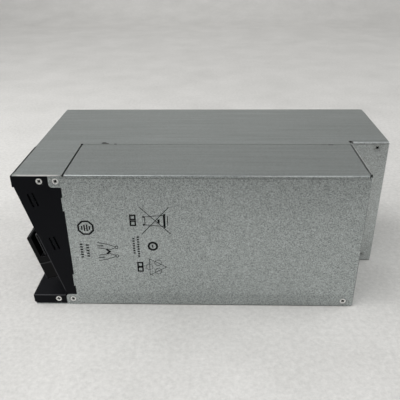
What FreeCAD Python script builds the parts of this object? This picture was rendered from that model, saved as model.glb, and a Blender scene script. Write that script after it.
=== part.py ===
"""Rack battery module: a folded steel case on its long narrow side, with a moulded front bezel.

Build frame: x runs from the front (0) to the rear, y from the printed face (0) to the far wall,
z up from the resting side (0). Each finished piece is then moved so that the origin is the centre
of the footprint.
"""
import FreeCAD, Part
import math
import os
import re
import Sketcher

Vector = FreeCAD.Vector

DIMENSIONS = {
    # whole module
    "case_length": 393.0,
    "case_depth": 211.0,
    "case_height": 157.0,
    "steel": 1.2,
    "bend_radius": 1.8,
    "corner_round": 2.5,
    "corner_gap": 0.8,
    "play": 0.3,
    # notch at the rear, and the cover that ends at it
    "cover_end": 350.0,
    "notch_depth": 90.0,
    "cover_start": 48.5,
    "flange_start": 52.5,
    "flange_depth": 82.0,
    "ear_start": 36.6,
    "ear_height": 15.0,
    "ear_radius": 3.5,
    "end_gap": 1.9,
    "seam_gap": 0.8,
    "relief_radius": 1.5,
    "relief_depth": 5.0,
    "hook_reach": 1.5,
    "hook_length": 14.8,
    "hook_inset": 25.0,
    "tongue_length": 12.0,
    "tongue_width": 14.0,
    "tongue_first": 80.0,
    "tongue_pitch": 82.0,
    "tongue_reach": 4.0,
    "lip_start": 8.0,
    "lip_height": 8.5,
    # front bezel
    "wall": 2.4,
    "bezel_back": 48.0,
    "nose_height": 13.2,
    "nose_step": 1.7,
    "nose_width": 78.0,
    "nose_reach": 2.0,
    "slant": 15.4,
    "recess_floor": 17.3,
    "foot_height": 12.3,
    "foot_setback": 0.3,
    "foot_chamfer": 2.4,
    "slot_width": 1.8,
    "slot_length": 15.5,
    # finger well behind the lever
    "well_low": 61.0,
    "well_high": 108.0,
    "well_back": 44.0,
    "well_margin": 24.0,
    # grip, in distances down the slanted face and out from it
    "grip_margin": 10.0,
    "grip_top": 61.3,
    "grip_seam": 96.0,
    "grip_reach": 18.7,
    "grip_plate": 4.7,
    "seam_step": 0.4,
    "base_end": 117.0,
    "pocket_floor": 88.4,
    "lever_out": 7.0,
    "lever_sheet": 1.5,
    "lever_lip": 3.5,
    "hub_radius": 2.6,
    "hub_room": 0.6,
    "pin_radius": 1.5,
    "pin_clearance": 0.05,
    "pin_down": 92.4,
    "end_web": 5.0,
    # sheets inside the case
    "bulkhead_gap": 1.2,
    "shelf_notch_low": 12.0,
    "shelf_notch_high": 32.0,
    "rear_notch_low": 36.0,
    "rear_notch_high": 118.0,
    "rear_notch_length": 22.0,
    "bracket_margin": 3.0,
    "bracket_reach": 9.0,
    # battery blocks
    "block_height": 151.0,
    "block_width": 65.0,
    "block_body": 80.0,
    "block_lid": 14.0,
    "block_gap": 0.5,
    "block_radius": 2.0,
    "block_start": 60.0,
    "tab_height": 6.0,
    "tab_width": 6.3,
    "tab_sheet": 0.8,
    "tab_inset": 20.0,
    "tab_side": 12.0,
    "near_row": 10.0,
    "far_row": 114.8,
    "divider_place": 104.8,
    "film": 0.5,
    "lead_radius": 2.25,
    "link_sheet": 3.0,
    "vent_margin": 24.0,
    "vent_depth": 1.5,
    "lid_margin": 0.5,
    # socket in the rear wall, and the fuse in its box
    "socket_inset": 9.0,
    "socket_depth": 22.0,
    "socket_half_width": 6.8,
    "socket_half_height": 21.8,
    "socket_clearance": 0.2,
    "socket_flange_sheet": 3.2,
    "socket_flange_side": 8.5,
    "socket_flange_half": 36.0,
    "pole_offset": 11.0,
    "pocket_depth": 18.0,
    "pocket_half_width": 4.6,
    "pocket_half_height": 8.5,
    "blade_sheet": 1.2,
    "blade_half_width": 5.0,
    "blade_short": 4.0,
    "bolt_offset": 30.0,
    "bolt_head_radius": 2.8,
    "bolt_head_height": 2.0,
    "fuse_back": 24.0,
    "fuse_width": 18.0,
    "fuse_start": 14.0,
    "fuse_depth": 36.0,
    "fuse_half_height": 30.0,
    "fuse_wall": 4.0,
    "fuse_end_wall": 8.0,
    "fuse_radius": 4.2,
    "fuse_cap_radius": 4.8,
    "fuse_cap_length": 8.0,
    # padding and film
    "foam_start": 16.0,
    "foam_play": 0.1,
    "foam_margin": 20.0,
    "film_margin": 4.0,
    "film_gap": 0.3,
    # fasteners
    "screw_inset": 7.0,
    "bezel_screw_back": 27.5,
    "rear_screw_back": 11.2,
    "strip_screw_back": 13.0,
    "grip_screw_in": 16.5,
    "grip_screw_drop": 4.0,
    "grip_thread": 4.0,
    "strip_screw_rise": 2.0,
    "spring_room": 4.0,
    "spring_half": 8.0,
    "coil_room": 4.4,
    "spring_start": 4.9,
    "pin_recess": 1.1,
    "grip_head_height": 2.6,
    "head_radius": 3.2,
    "shank_radius": 1.5,
    "dimple_radius": 4.4,
    "dimple_depth": 0.4,
    "screw_length": 8.0,
    "nut_radius": 2.85,
    "nut_height": 3.0,
}
ALIAS = re.compile(r"\b(" + "|".join(sorted(DIMENSIONS, key=len, reverse=True)) + r")\b")
FAR_BLOCKS = 5
NEAR_BLOCKS = 4
PARALLEL = 0.999
TOUCH = 0.01
SPRING_TURNS = 8
SPRING_WIRE = 0.45
COIL_GAP = 0.25
COIL_PLAY = 0.3
WIRE_TILT = 0.12
LEAD_TRIM = 0.45

doc = FreeCAD.newDocument("rack_battery_module")
places = {}
pieces = {}


def make_sheet():
    """Put every driving dimension in the spreadsheet, under its own alias."""
    sheet = doc.addObject("Spreadsheet::Sheet", "Dimensions")
    for row, (alias, value) in enumerate(DIMENSIONS.items(), start=1):
        sheet.set(f"A{row}", str(value))
        sheet.setAlias(f"A{row}", alias)
    doc.recompute()


def linked(formula):
    """Write a formula's dimension names as references to the spreadsheet."""
    return ALIAS.sub(r"Dimensions.\1", str(formula))


def bind(thing, prop, formula):
    thing.setExpression(prop, linked(formula))


def value(formula):
    """Work a formula out in numbers, for shapes that have no sketch."""
    probe = doc.getObject("probe") or doc.addObject("App::FeaturePython", "probe")
    if not hasattr(probe, "Result"):
        probe.addProperty("App::PropertyFloat", "Result")
    bind(probe, "Result", formula)
    probe.recompute()
    return probe.Result


def put(thing, x, y, z):
    """Bind an object's place, and remember it for when the piece is finished."""
    places[thing.Name] = (str(x), str(y), str(z))
    for axis, formula in zip("xyz", places[thing.Name]):
        bind(thing, f"Placement.Base.{axis}", formula)
    return thing


def box(name, low, high):
    """A block between two corners, each a list of three formulas."""
    block = doc.addObject("Part::Box", name)
    for prop, start, end in zip(("Length", "Width", "Height"), low, high):
        bind(block, prop, f"({end}) - ({start})")
    return put(block, *low)


TURNS = {
    "+x": FreeCAD.Rotation(Vector(0, 1, 0), 90),
    "-x": FreeCAD.Rotation(Vector(0, 1, 0), -90),
    "+y": FreeCAD.Rotation(Vector(1, 0, 0), -90),
    "-y": FreeCAD.Rotation(Vector(1, 0, 0), 90),
    "+z": FreeCAD.Rotation(),
}


def cylinder(name, start, axis, radius, length):
    rod = doc.addObject("Part::Cylinder", name)
    bind(rod, "Radius", radius)
    bind(rod, "Height", length)
    rod.Placement = FreeCAD.Placement(Vector(), TURNS[axis])
    return put(rod, *start)


def cone(name, start, axis, radius, end_radius, length):
    taper = doc.addObject("Part::Cone", name)
    bind(taper, "Radius1", radius)
    bind(taper, "Radius2", end_radius)
    bind(taper, "Height", length)
    taper.Placement = FreeCAD.Placement(Vector(), TURNS[axis])
    return put(taper, *start)


def fuse(name, things):
    joined = doc.addObject("Part::MultiFuse", name)
    joined.Shapes = things
    joined.Refine = True
    return joined


def cut(name, base, tools):
    result = doc.addObject("Part::Cut", name)
    result.Base = base
    result.Tool = tools[0] if len(tools) == 1 else fuse(name + "_tools", tools)
    result.Refine = True
    return result


def common(name, first, second):
    result = doc.addObject("Part::Common", name)
    result.Base = first
    result.Tool = second
    return result


def group(name, things):
    """Several separate solids that share one node."""
    bunch = doc.addObject("Part::Compound", name)
    bunch.Links = things
    return bunch


def round_edges(name, base, radius, chosen):
    """Round the edges of a shape that the test picks out."""
    doc.recompute()
    amount = value(radius)
    picked = [(number, amount, amount)
              for number, edge in enumerate(base.Shape.Edges, start=1) if chosen(edge)]
    rounded = doc.addObject("Part::Fillet", name)
    rounded.Base = base
    rounded.Edges = picked
    return rounded


def lies_along(edge, axis, at):
    """True for a straight edge along an axis that passes through the given coordinates."""
    if not isinstance(edge.Curve, (Part.Line, Part.LineSegment)):
        return False
    ends = [vertex.Point for vertex in edge.Vertexes]
    if len(ends) != 2 or abs((ends[1] - ends[0]).normalize()[axis]) < PARALLEL:
        return False
    return any(all(abs(ends[0][k] - place[k]) < TOUCH for k in place) for place in at)


def profile(name, points, plane, start, length):
    """Pad a closed outline. plane is XY or XZ; a point is two formulas; start is along the normal."""
    body = doc.addObject("PartDesign::Body", name)
    sketch = body.newObject("Sketcher::SketchObject", name + "_outline")
    base = [item for item in body.Origin.OriginFeatures if item.Role == plane + "_Plane"][0]
    sketch.AttachmentSupport = [(base, "")]
    sketch.MapMode = "FlatFace"
    corners = [Vector(value(x), value(z), 0) for x, z in points]
    count = len(points)
    sides = [Part.LineSegment(corners[k], corners[(k + 1) % count]) for k in range(count)]
    sketch.addGeometry(sides, False)
    for k in range(count):
        sketch.addConstraint(Sketcher.Constraint("Coincident", k, 2, (k + 1) % count, 1))
    for k, (corner, formulas) in enumerate(zip(corners, points)):
        for kind, reading, formula in zip(("DistanceX", "DistanceY"), corner, formulas):
            place = sketch.addConstraint(Sketcher.Constraint(kind, -1, 1, k, 1, reading))
            bind(sketch, f"Constraints[{place}]", formula)
    pad = body.newObject("PartDesign::Pad", name + "_pad")
    pad.Profile = sketch
    pad.Reversed = plane == "XZ"
    bind(pad, "Length", length)
    zero = ("0", start, "0") if plane == "XZ" else ("0", "0", start)
    return put(body, *zero)


def keep(label, thing):
    """Name a finished piece and move it from the build frame to the centre of the footprint."""
    x, y, z = places.get(thing.Name, ("0", "0", "0"))
    bind(thing, "Placement.Base.x", f"({x}) - case_length / 2")
    bind(thing, "Placement.Base.y", f"({y}) - case_depth / 2")
    bind(thing, "Placement.Base.z", z)
    thing.Label = label
    pieces[label] = thing


def on_slant(down, out):
    """Formulas of the point that lies so far down the slanted face and so far out from it."""
    x = f"nose_step + ({down}) * sin(slant) - ({out}) * cos(slant)"
    z = f"case_height - nose_height - ({down}) * cos(slant) - ({out}) * sin(slant)"
    return x, z


# ---------------------------------------------------------------- screws and their places

TOP_SCREW = "case_height - screw_inset"
EAR_SCREWS = [("ear_start + screw_inset", TOP_SCREW), ("ear_start + screw_inset", "screw_inset")]
BEZEL_SCREWS = [("bezel_screw_back", TOP_SCREW), ("bezel_screw_back", "screw_inset")]
REAR_SCREW = ("cover_end - rear_screw_back", "screw_inset")
STRIP_SCREWS = [("case_length - strip_screw_back", TOP_SCREW),
                ("case_length - strip_screw_back", "screw_inset + strip_screw_rise")]
TONGUES = 4
FUSE_X = "cover_end - fuse_back + fuse_width / 2"
MIDDLE = "case_height / 2"
BOLTS_Z = (f"{MIDDLE} - bolt_offset", f"{MIDDLE} + bolt_offset")
POLES_Z = (f"{MIDDLE} - pole_offset", f"{MIDDLE} + pole_offset")
SOCKET_Y = "(notch_depth + steel + socket_inset)"
GRIP_SCREW_Y = ("grip_screw_in", "case_depth - grip_screw_in")


def deeper(y, depth, axis):
    """Formula of the place that lies so far behind the face at y, along the screw's own direction."""
    return f"({y}) + ({depth})" if axis == "+y" else f"({y}) - ({depth})"


def sunk_cone(name, x, y, z, axis):
    """Cone of a countersunk head, from the foot of the sheet's dimple inwards."""
    top = deeper(y, "dimple_depth", axis)
    return cone(name, (x, top, z), axis, "head_radius", "shank_radius", "head_radius - shank_radius")


def sunk_screw(name, x, y, z, axis="+y"):
    """Countersunk screw at the foot of the sheet's dimple, with a recess for the driver."""
    top = deeper(y, "dimple_depth", axis)
    head = sunk_cone(name + "_head", x, y, z, axis)
    shank = cylinder(name + "_shank", (x, top, z), axis, "shank_radius", "screw_length")
    recess = cone(name + "_recess", (x, top, z), axis,
                  "0.4 * head_radius", "0.2 * head_radius", "0.4 * head_radius")
    return cut(name, fuse(name + "_solid", [head, shank]), [recess])


def sink(name, x, y, z, axis="+y"):
    """The dimpled and countersunk hole that such a screw needs."""
    dimple = cone(name + "_dimple", (x, y, z), axis, "dimple_radius", "head_radius", "dimple_depth")
    head = sunk_cone(name + "_sink", x, y, z, axis)
    hole = cylinder(name + "_hole", (x, y, z), axis, "shank_radius", "1.5 * screw_length")
    return fuse(name, [dimple, head, hole])


def clinch_nut(name, x, y, z, axis="+y", outer_face="0"):
    """Pressed nut behind the sheet, bored to the screw's own size, with room for a long countersink."""
    collar = cylinder(name + "_collar", (x, y, z), axis, "nut_radius", "nut_height")
    face = "case_depth" if axis == "-y" else outer_face
    return cut(name, collar, [sink(name + "_bore", x, face, z, axis)])


# ---------------------------------------------------------------- sheet metal

def side_plate(name, level):
    """L-plan side wall of the case: full depth at the front, back from the cover's flange beyond it."""
    edge = "flange_start - end_gap"
    corner = "cover_end - steel - play"
    seam = "flange_depth + seam_gap"
    outline = [("nose_reach", "0"), (edge, "0"), (edge, seam), (corner, seam), (corner, "notch_depth"),
               ("case_length", "notch_depth"), ("case_length", "case_depth"), ("nose_reach", "case_depth")]
    return profile(name, outline, "XY", level, "steel")


def case_envelope():
    """L-plan solid with every bend rounded. The case's square sheets are trimmed to it."""
    depth, length, height = value("case_depth"), value("case_length"), value("case_height")
    notch = value("notch_depth")
    corner = ("case_length", "case_depth", "case_height")
    wide = box("wide_block", ("-nose_reach", "0", "0"), ("cover_end", "case_depth", "case_height"))
    narrow = box("narrow_block", ("flange_depth", "notch_depth", "0"), corner)

    def far_bend(edge):
        return lies_along(edge, 0, [{1: depth, 2: 0}, {1: depth, 2: height}])

    def rear_bend(edge):
        along_x = lies_along(edge, 0, [{1: y, 2: z} for y in (depth, notch) for z in (0, height)])
        along_y = lies_along(edge, 1, [{0: length, 2: 0}, {0: length, 2: height}])
        upright = lies_along(edge, 2, [{0: length, 1: depth}, {0: length, 1: notch}])
        return along_x or along_y or upright
    return fuse("case_envelope", [round_edges("wide_round", wide, "bend_radius", far_bend),
                                  round_edges("narrow_round", narrow, "bend_radius", rear_bend)])


def socket_window(name, start, end):
    """Opening round the socket, with a little clearance on every side."""
    side, height = "socket_half_width + socket_clearance", "socket_half_height + socket_clearance"
    return box(name, (start, f"{SOCKET_Y} - {side.replace('+', '-')}",
                      f"{MIDDLE} - {height.replace('+', '-')}"),
               (end, f"{SOCKET_Y} + {side}", f"{MIDDLE} + {height}"))


def lips_and_tongues(tag, low, high, level):
    """Two lips that take the front screws, and tongues that lie under the cover's flange."""
    parts = []
    for side, start in (("near", "steel"), ("far", "case_depth - 2 * steel")):
        parts.append(box(f"{side}_lip_{tag}", ("lip_start", start, low),
                         ("cover_start - 0.5", f"{start} + steel", high)))
    for number in range(TONGUES):
        start = f"tongue_first + {number} * tongue_pitch"
        parts.append(box(f"tongue_{tag}_{number}", (start, "flange_depth - tongue_length", level),
                         (f"{start} + tongue_width", "flange_depth + tongue_reach", f"{level} + steel")))
    return parts


def main_case():
    """Folded case: side, far and rear walls, and the strip wall that closes the rear notch."""
    top, rear, far = "case_height", "case_length", "case_depth"
    parts = [side_plate("low_side", "0"), side_plate("high_side", "case_height - steel")]
    parts.append(box("far_wall", ("cover_start", "case_depth - steel", "0"), (rear, far, top)))
    parts.append(box("rear_wall", ("case_length - steel", "notch_depth", "0"), (rear, far, top)))
    parts.append(box("strip_wall", ("cover_end", "notch_depth", "0"), (rear, "notch_depth + steel", top)))
    parts += lips_and_tongues("low", "steel", "steel + lip_height", "steel")
    parts += lips_and_tongues("high", "case_height - steel - lip_height", "case_height - steel",
                              "case_height - 2 * steel")
    shell = fuse("case_shell", parts)
    holes = []
    for number, (x, z) in enumerate(STRIP_SCREWS):
        holes.append(sink(f"strip_hole_{number}", x, "notch_depth", z))
    for number, (x, z) in enumerate(EAR_SCREWS + BEZEL_SCREWS):
        holes.append(sink(f"lip_hole_{number}", x, "0", z))
    for number, (x, z) in enumerate(BEZEL_SCREWS):
        holes.append(sink(f"far_lip_hole_{number}", x, "case_depth", z, "-y"))
    holes.append(socket_window("wall_window", "case_length - 2 * steel", "case_length + 1"))
    for tag, low in (("low", "-1"), ("high", "case_height - relief_depth")):
        holes.append(cylinder(f"corner_relief_{tag}", ("cover_end", "notch_depth + 0.5", low), "+z",
                              "relief_radius", "relief_depth + 1"))
    keep("main_case", cut("case_cut", common("case_sheets", shell, case_envelope()), holes))


def cover_envelope():
    """Solid with the cover's bends and its low rear corner rounded. The cover is trimmed to it."""
    end = value("cover_end")
    block = box("cover_block", ("0", "0", "0"), ("cover_end", "notch_depth", "case_height"))
    corner = round_edges("cover_corner", block, "corner_round",
                         lambda edge: lies_along(edge, 1, [{0: end, 2: 0}]))

    def face_bend(edge):
        ends = [vertex.Point for vertex in edge.Vertexes]
        return all(abs(point.y) < TOUCH for point in ends) and any(point.x > TOUCH for point in ends)
    return round_edges("cover_envelope", corner, "bend_radius", face_bend)


def cover_tray():
    """Printed face with two ears and two small hooks, its long side flanges and its end flange."""
    ear_top, hook_top = "ear_height - 1.5", "hook_inset + hook_length"
    lower = [("flange_start", "0"), ("flange_start", "steel + 0.2"), ("ear_start", "steel + 0.2"),
             ("ear_start", ear_top), ("cover_start", ear_top),
             ("cover_start", "hook_inset"), ("cover_start - hook_reach", "hook_inset"),
             ("cover_start - hook_reach", hook_top), ("cover_start", hook_top)]
    upper = [(x, f"case_height - ({z})") for x, z in reversed(lower)]
    outline = lower + upper + [("cover_end", "case_height"), ("cover_end", "0")]
    ear, low, high = value("ear_start"), value(ear_top), value(f"case_height - ({ear_top})")
    face = round_edges("printed_face", profile("face_blank", outline, "XZ", "0", "steel"), "ear_radius",
                       lambda edge: lies_along(edge, 1, [{0: ear, 2: low}, {0: ear, 2: high}]))
    parts = [face]
    for tag, level, stop in (("low", "0", "cover_end - corner_round - 0.1"),
                             ("high", "case_height - steel", "cover_end - steel - corner_gap")):
        parts.append(box(f"flange_{tag}", ("flange_start", "0", level),
                         (stop, "flange_depth", f"{level} + steel")))
    flange_end = "notch_depth - corner_gap"
    parts.append(box("end_flange", ("cover_end - steel", "0", "corner_round + 0.1"),
                     ("cover_end", flange_end, "case_height")))
    holes = [sink(f"ear_sink_{number}", x, "0", z) for number, (x, z) in enumerate(EAR_SCREWS)]
    holes.append(sink("rear_sink", REAR_SCREW[0], "0", REAR_SCREW[1]))
    for tag, x, y in (("far", "cover_end - 0.4", flange_end), ("near", "cover_end - 1.1", "1.1")):
        holes.append(cylinder(f"{tag}_relief", (x, y, "case_height - relief_depth"), "+z",
                              "relief_radius", "relief_depth + 1"))
    shell = common("cover_sheets", fuse("cover_shell", parts), cover_envelope())
    keep("cover_tray", cut("cover_cut", shell, holes))


def inner_sheets():
    """Bulkhead behind the bezel, shelf between the two rows, and the bracket that holds the socket."""
    low, high = "steel + play", "case_height - steel - play"
    front = "bezel_back + bulkhead_gap"
    keep("front_bulkhead", box("bulkhead_plate", (front, "2 * steel + play", low),
                               (f"{front} + steel", "case_depth - steel - play", high)))
    start, end = "divider_place", "divider_place + steel"
    shelf = box("shelf_plate", (f"{front} + steel + play", start, low),
                ("cover_end - steel - play", end, high))
    before, after = f"{start} - 1", f"{end} + 1"
    notch = box("shelf_notch", ("bezel_back", before, "shelf_notch_low"),
                ("block_start + 4", after, "shelf_notch_high"))
    rear = box("shelf_rear_notch", ("cover_end - rear_notch_length", before, "rear_notch_low"),
               ("cover_end", after, "rear_notch_high"))
    keep("divider_shelf", cut("shelf_cut", shelf, [notch, rear]))
    back, inner, margin = "case_length - steel - play", "notch_depth + steel", "bracket_margin"
    leg = box("bracket_leg", (f"cover_end + {margin}", inner, margin),
              (back, f"{inner} + steel", f"case_height - {margin}"))
    face = box("bracket_face", (f"{back} - steel", inner, margin),
               (back, f"{SOCKET_Y} + bracket_reach", f"case_height - {margin}"))
    holes = [sink(f"bracket_hole_{number}", x, "notch_depth", z)
             for number, (x, z) in enumerate(STRIP_SCREWS)]
    holes.append(socket_window("bracket_window", f"{back} - 3", f"{back} + 1"))
    for number, z in enumerate(BOLTS_Z):
        holes.append(cylinder(f"bracket_bolt_{number}", (f"{back} - 5", SOCKET_Y, z), "+x",
                              "shank_radius", "8"))
    keep("connector_bracket", cut("bracket_cut", fuse("bracket_solid", [leg, face]), holes))


# ---------------------------------------------------------------- front bezel, grip and lever

def bezel_outline(inset):
    """The cheek's outline, moved inwards by the wall for the hollow, whose back is left open."""
    slant_top = on_slant("0", f"-({inset})")
    slant_low = on_slant("(case_height - nose_height - recess_floor) / cos(slant)", f"-({inset})")
    return [(f"{inset}", f"case_height - steel - ({inset})"),
            (f"{inset}", f"case_height - nose_height + ({inset}) * 0.7"),
            (slant_top[0], slant_top[1] + f" + ({inset}) * 0.7"),
            slant_low,
            (slant_low[0] + " - 2.1", f"foot_height - ({inset})"),
            (f"foot_setback + {inset}", f"foot_height - ({inset})"),
            (f"foot_setback + {inset}", f"steel + foot_chamfer + ({inset}) * 0.4"),
            (f"foot_setback + foot_chamfer + ({inset}) * 0.4", f"steel + ({inset})"),
            (f"bezel_back + ({inset})", f"steel + ({inset})"),
            (f"bezel_back + ({inset})", f"case_height - steel - ({inset})")]


CHEEK_SLOTS = [("10.5", "9"), ("10.5", "14"), ("63", "9.5"), ("63", "14.5")]


def slanted_slot(name, down, behind):
    """Narrow slot through a cheek, parallel to the slanted face."""
    first = on_slant(down, f"-({behind})")
    second = on_slant(down, f"-({behind} + slot_width)")
    third = on_slant(f"{down} + slot_length", f"-({behind} + slot_width)")
    fourth = on_slant(f"{down} + slot_length", f"-({behind})")
    return profile(name, [first, second, third, fourth], "XZ", "-1", "wall + 2")


def ear_rooms():
    """Room in the bezel for the cover's ears and hooks and for the case's lips."""
    rooms = []
    for tag, low, high in (("low", "0", "ear_height - 1"),
                           ("high", "case_height - ear_height + 1", "case_height")):
        for side, start in (("near", "-1"), ("far", "case_depth - steel - 0.1")):
            rooms.append(box(f"{side}_ear_room_{tag}", ("ear_start - 0.5", start, low),
                             ("bezel_back + 1", f"{start} + steel + 1.1", high)))
        bottom = "0" if tag == "low" else "case_height - steel - lip_height - play"
        top = "steel + lip_height + play" if tag == "low" else "case_height"
        for side, start in (("near", "steel - 0.1"), ("far", "case_depth - 2 * steel - 0.1")):
            rooms.append(box(f"{side}_lip_room_{tag}", ("lip_start - play", start, bottom),
                             ("bezel_back + 1", f"{start} + steel + 0.2", top)))
    for tag, low in (("low", "hook_inset - play"), ("high", "case_height - hook_inset - hook_length - play")):
        rooms.append(box(f"hook_room_{tag}", ("cover_start - hook_reach - 0.4", "-1", low),
                         ("bezel_back + 1", "steel + 0.4", f"{low} + hook_length + 2 * play")))
    return rooms


def front_bezel():
    """Hollow moulded bezel with two cheeks, a slanted front, a foot and the finger well."""
    block = profile("bezel_block", bezel_outline("0"), "XZ", "0", "case_depth")
    tools = [profile("bezel_hollow", bezel_outline("wall"), "XZ", "wall", "case_depth - 2 * wall")]
    tools.append(box("nose_relief", ("-1", "nose_width", "case_height - nose_height - 1"),
                     ("nose_reach", "case_depth + 1", "case_height")))
    tools += ear_rooms()
    for number, (down, behind) in enumerate(CHEEK_SLOTS):
        tools.append(slanted_slot(f"cheek_slot_{number}", down, behind))
    for number, (x, z) in enumerate(BEZEL_SCREWS):
        tools.append(sink(f"bezel_sink_{number}", x, "0", z))
        tools.append(sink(f"bezel_far_sink_{number}", x, "case_depth", z, "-y"))
    shell = cut("bezel_shell", block, tools)
    room = box("well_room", ("0", "well_margin - wall", "well_low - wall"),
               ("well_back + wall", "case_depth - well_margin + wall", "well_high + wall"))
    copy = profile("well_limit", bezel_outline("0"), "XZ", "0", "case_depth")
    well = box("well", ("-5", "well_margin", "well_low"),
               ("well_back", "case_depth - well_margin", "well_high"))
    walled = fuse("bezel_with_well", [shell, common("well_walls", room, copy)])
    keep("front_bezel", cut("bezel_cut", walled, [well, grip_screw_holes()]))


def grip_screw_holes():
    """Two screw holes with spot faces, from inside the slanted face into the grip's base."""
    x, z = on_slant("pocket_floor + grip_screw_drop", "0")
    holes = []
    for number, place in enumerate(GRIP_SCREW_Y):
        holes.append(cylinder(f"grip_hole_{number}", (f"{x} - 12", place, z), "+x", "shank_radius", "22"))
        holes.append(cylinder(f"spot_face_{number}", (f"{x} + wall / cos(slant)", place, z), "+x",
                              "head_radius + 0.2", "8"))
    return fuse("grip_screw_holes", holes)


def grip():
    """Hooked grip: an outer plate over an open pocket, on a solid base that stands on the slant."""
    start, length = "grip_margin", "case_depth - 2 * grip_margin"
    inner = "grip_reach - grip_plate"
    ease = "1.2"
    hook = [on_slant("pocket_floor", "0.05"), on_slant("pocket_floor", f"{inner} - 2"),
            on_slant("pocket_floor - 0.6", f"{inner} - 0.6"), on_slant("pocket_floor - 2", inner),
            on_slant(f"grip_top + {ease}", inner), on_slant("grip_top", f"{inner} + {ease}"),
            on_slant("grip_top", f"grip_reach - {ease}"), on_slant(f"grip_top + {ease}", "grip_reach"),
            on_slant("grip_seam", "grip_reach"), on_slant("grip_seam", "0.05")]
    solid = profile("grip_hook", hook, "XZ", start, length)
    out, room_radius = "lever_out + lever_sheet / 2", "hub_radius + hub_room"
    x, z = on_slant("pin_down", out)
    room_start, room_length = "grip_margin + end_web", f"{length} - 2 * end_web"
    room = cylinder("hub_room_bore", (x, room_start, z), "+y", room_radius, room_length)
    throat = [on_slant("pin_down", f"{out} - hub_radius - hub_room"),
              on_slant("pocket_floor - 1", "lever_out - 2"), on_slant("pocket_floor - 1", f"{out} + 4"),
              on_slant("pin_down", f"{out} + {room_radius}")]
    mouth = profile("hub_mouth", throat, "XZ", room_start, room_length)
    bore = cylinder("grip_pin_bore", (x, "grip_margin + 1", z), "+y", "pin_radius", f"{length} - 2")
    keep("grip", cut("grip_cut", solid, [room, mouth, bore, grip_threads()]))
    base = [on_slant("grip_seam + seam_step", "0.05"), on_slant("grip_seam + seam_step", "grip_reach"),
            on_slant("base_end - 2", "grip_reach"), on_slant("base_end", "grip_reach - 2"),
            on_slant("base_end", "0.05")]
    keep("grip_base", profile("base_block", base, "XZ", start, length))


def grip_threads():
    """Blind threaded holes in the grip for its two screws."""
    x, z = on_slant("pocket_floor + grip_screw_drop", "0")
    holes = [cylinder(f"grip_thread_{number}", (f"{x} - grip_thread - 0.2", place, z), "+x",
                      "shank_radius", "2 * grip_thread") for number, place in enumerate(GRIP_SCREW_Y)]
    return fuse("grip_threads", holes)


def catch_lever():
    """Thin steel plate that turns on a pin at its foot, with an inward lip along its top edge."""
    inner, outer = "lever_out", "lever_out + lever_sheet"
    lip = [on_slant("grip_top + 1", inner), on_slant("grip_top + 1", "lever_out - lever_lip"),
           on_slant("grip_top - 0.5", "lever_out - lever_lip"), on_slant("grip_top - 0.5", outer)]
    above = lip + [on_slant("pocket_floor - 0.8", outer), on_slant("pocket_floor - 0.8", inner)]
    below = [on_slant("pocket_floor - 0.9", inner), on_slant("pocket_floor - 0.9", outer),
             on_slant("pin_down", outer), on_slant("pin_down", inner)]
    blade = profile("lever_blade", above, "XZ", "grip_margin + 0.5", "case_depth - 2 * grip_margin - 1")
    shank = profile("lever_shank", below, "XZ", "grip_margin + 0.5 + end_web",
                    "case_depth - 2 * grip_margin - 1 - 2 * end_web")
    out = "lever_out + lever_sheet / 2"
    x, z = on_slant("pin_down", out)
    ends = (("grip_margin + end_web + 0.5", "case_depth / 2 - 8"),
            ("case_depth / 2 + 8", "case_depth - grip_margin - end_web - 0.5"))
    hubs = [cylinder(f"lever_hub_{number}", (x, low, z), "+y", "hub_radius", f"({high}) - ({low})")
            for number, (low, high) in enumerate(ends)]
    gap = box("spring_gap", (f"{x} - spring_room", "case_depth / 2 - spring_half", f"{z} - spring_room"),
              (f"{x} + spring_room", "case_depth / 2 + spring_half", f"{z} + coil_room"))
    bore = cylinder("lever_bore", (x, "0", z), "+y", "pin_radius + pin_clearance", "case_depth")
    keep("catch_lever", cut("lever_cut", fuse("lever_solid", [blade, shank] + hubs), [gap, bore]))
    keep("lever_pin", cylinder("pin_rod", (x, "grip_margin + pin_recess", z), "+y", "pin_radius",
                               "case_depth - 2 * (grip_margin + pin_recess)"))
    pitch = 2 * SPRING_WIRE + COIL_GAP
    coil = Part.makeHelix(pitch, SPRING_TURNS * pitch, value("pin_radius") + COIL_PLAY + SPRING_WIRE)
    first = coil.Vertexes[0].Point
    section = Part.Wire(Part.makeCircle(SPRING_WIRE, first, Vector(0, 1, WIRE_TILT)))
    spring = doc.addObject("Part::Feature", "torsion_coil")
    spring.Shape = Part.Wire(coil).makePipeShell([section], True, True)
    spring.Placement = FreeCAD.Placement(Vector(), FreeCAD.Rotation(Vector(1, 0, 0), -90))
    put(spring, x, "case_depth / 2 - spring_start", z)
    keep("lever_spring", spring)


# ---------------------------------------------------------------- battery blocks and wiring

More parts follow.
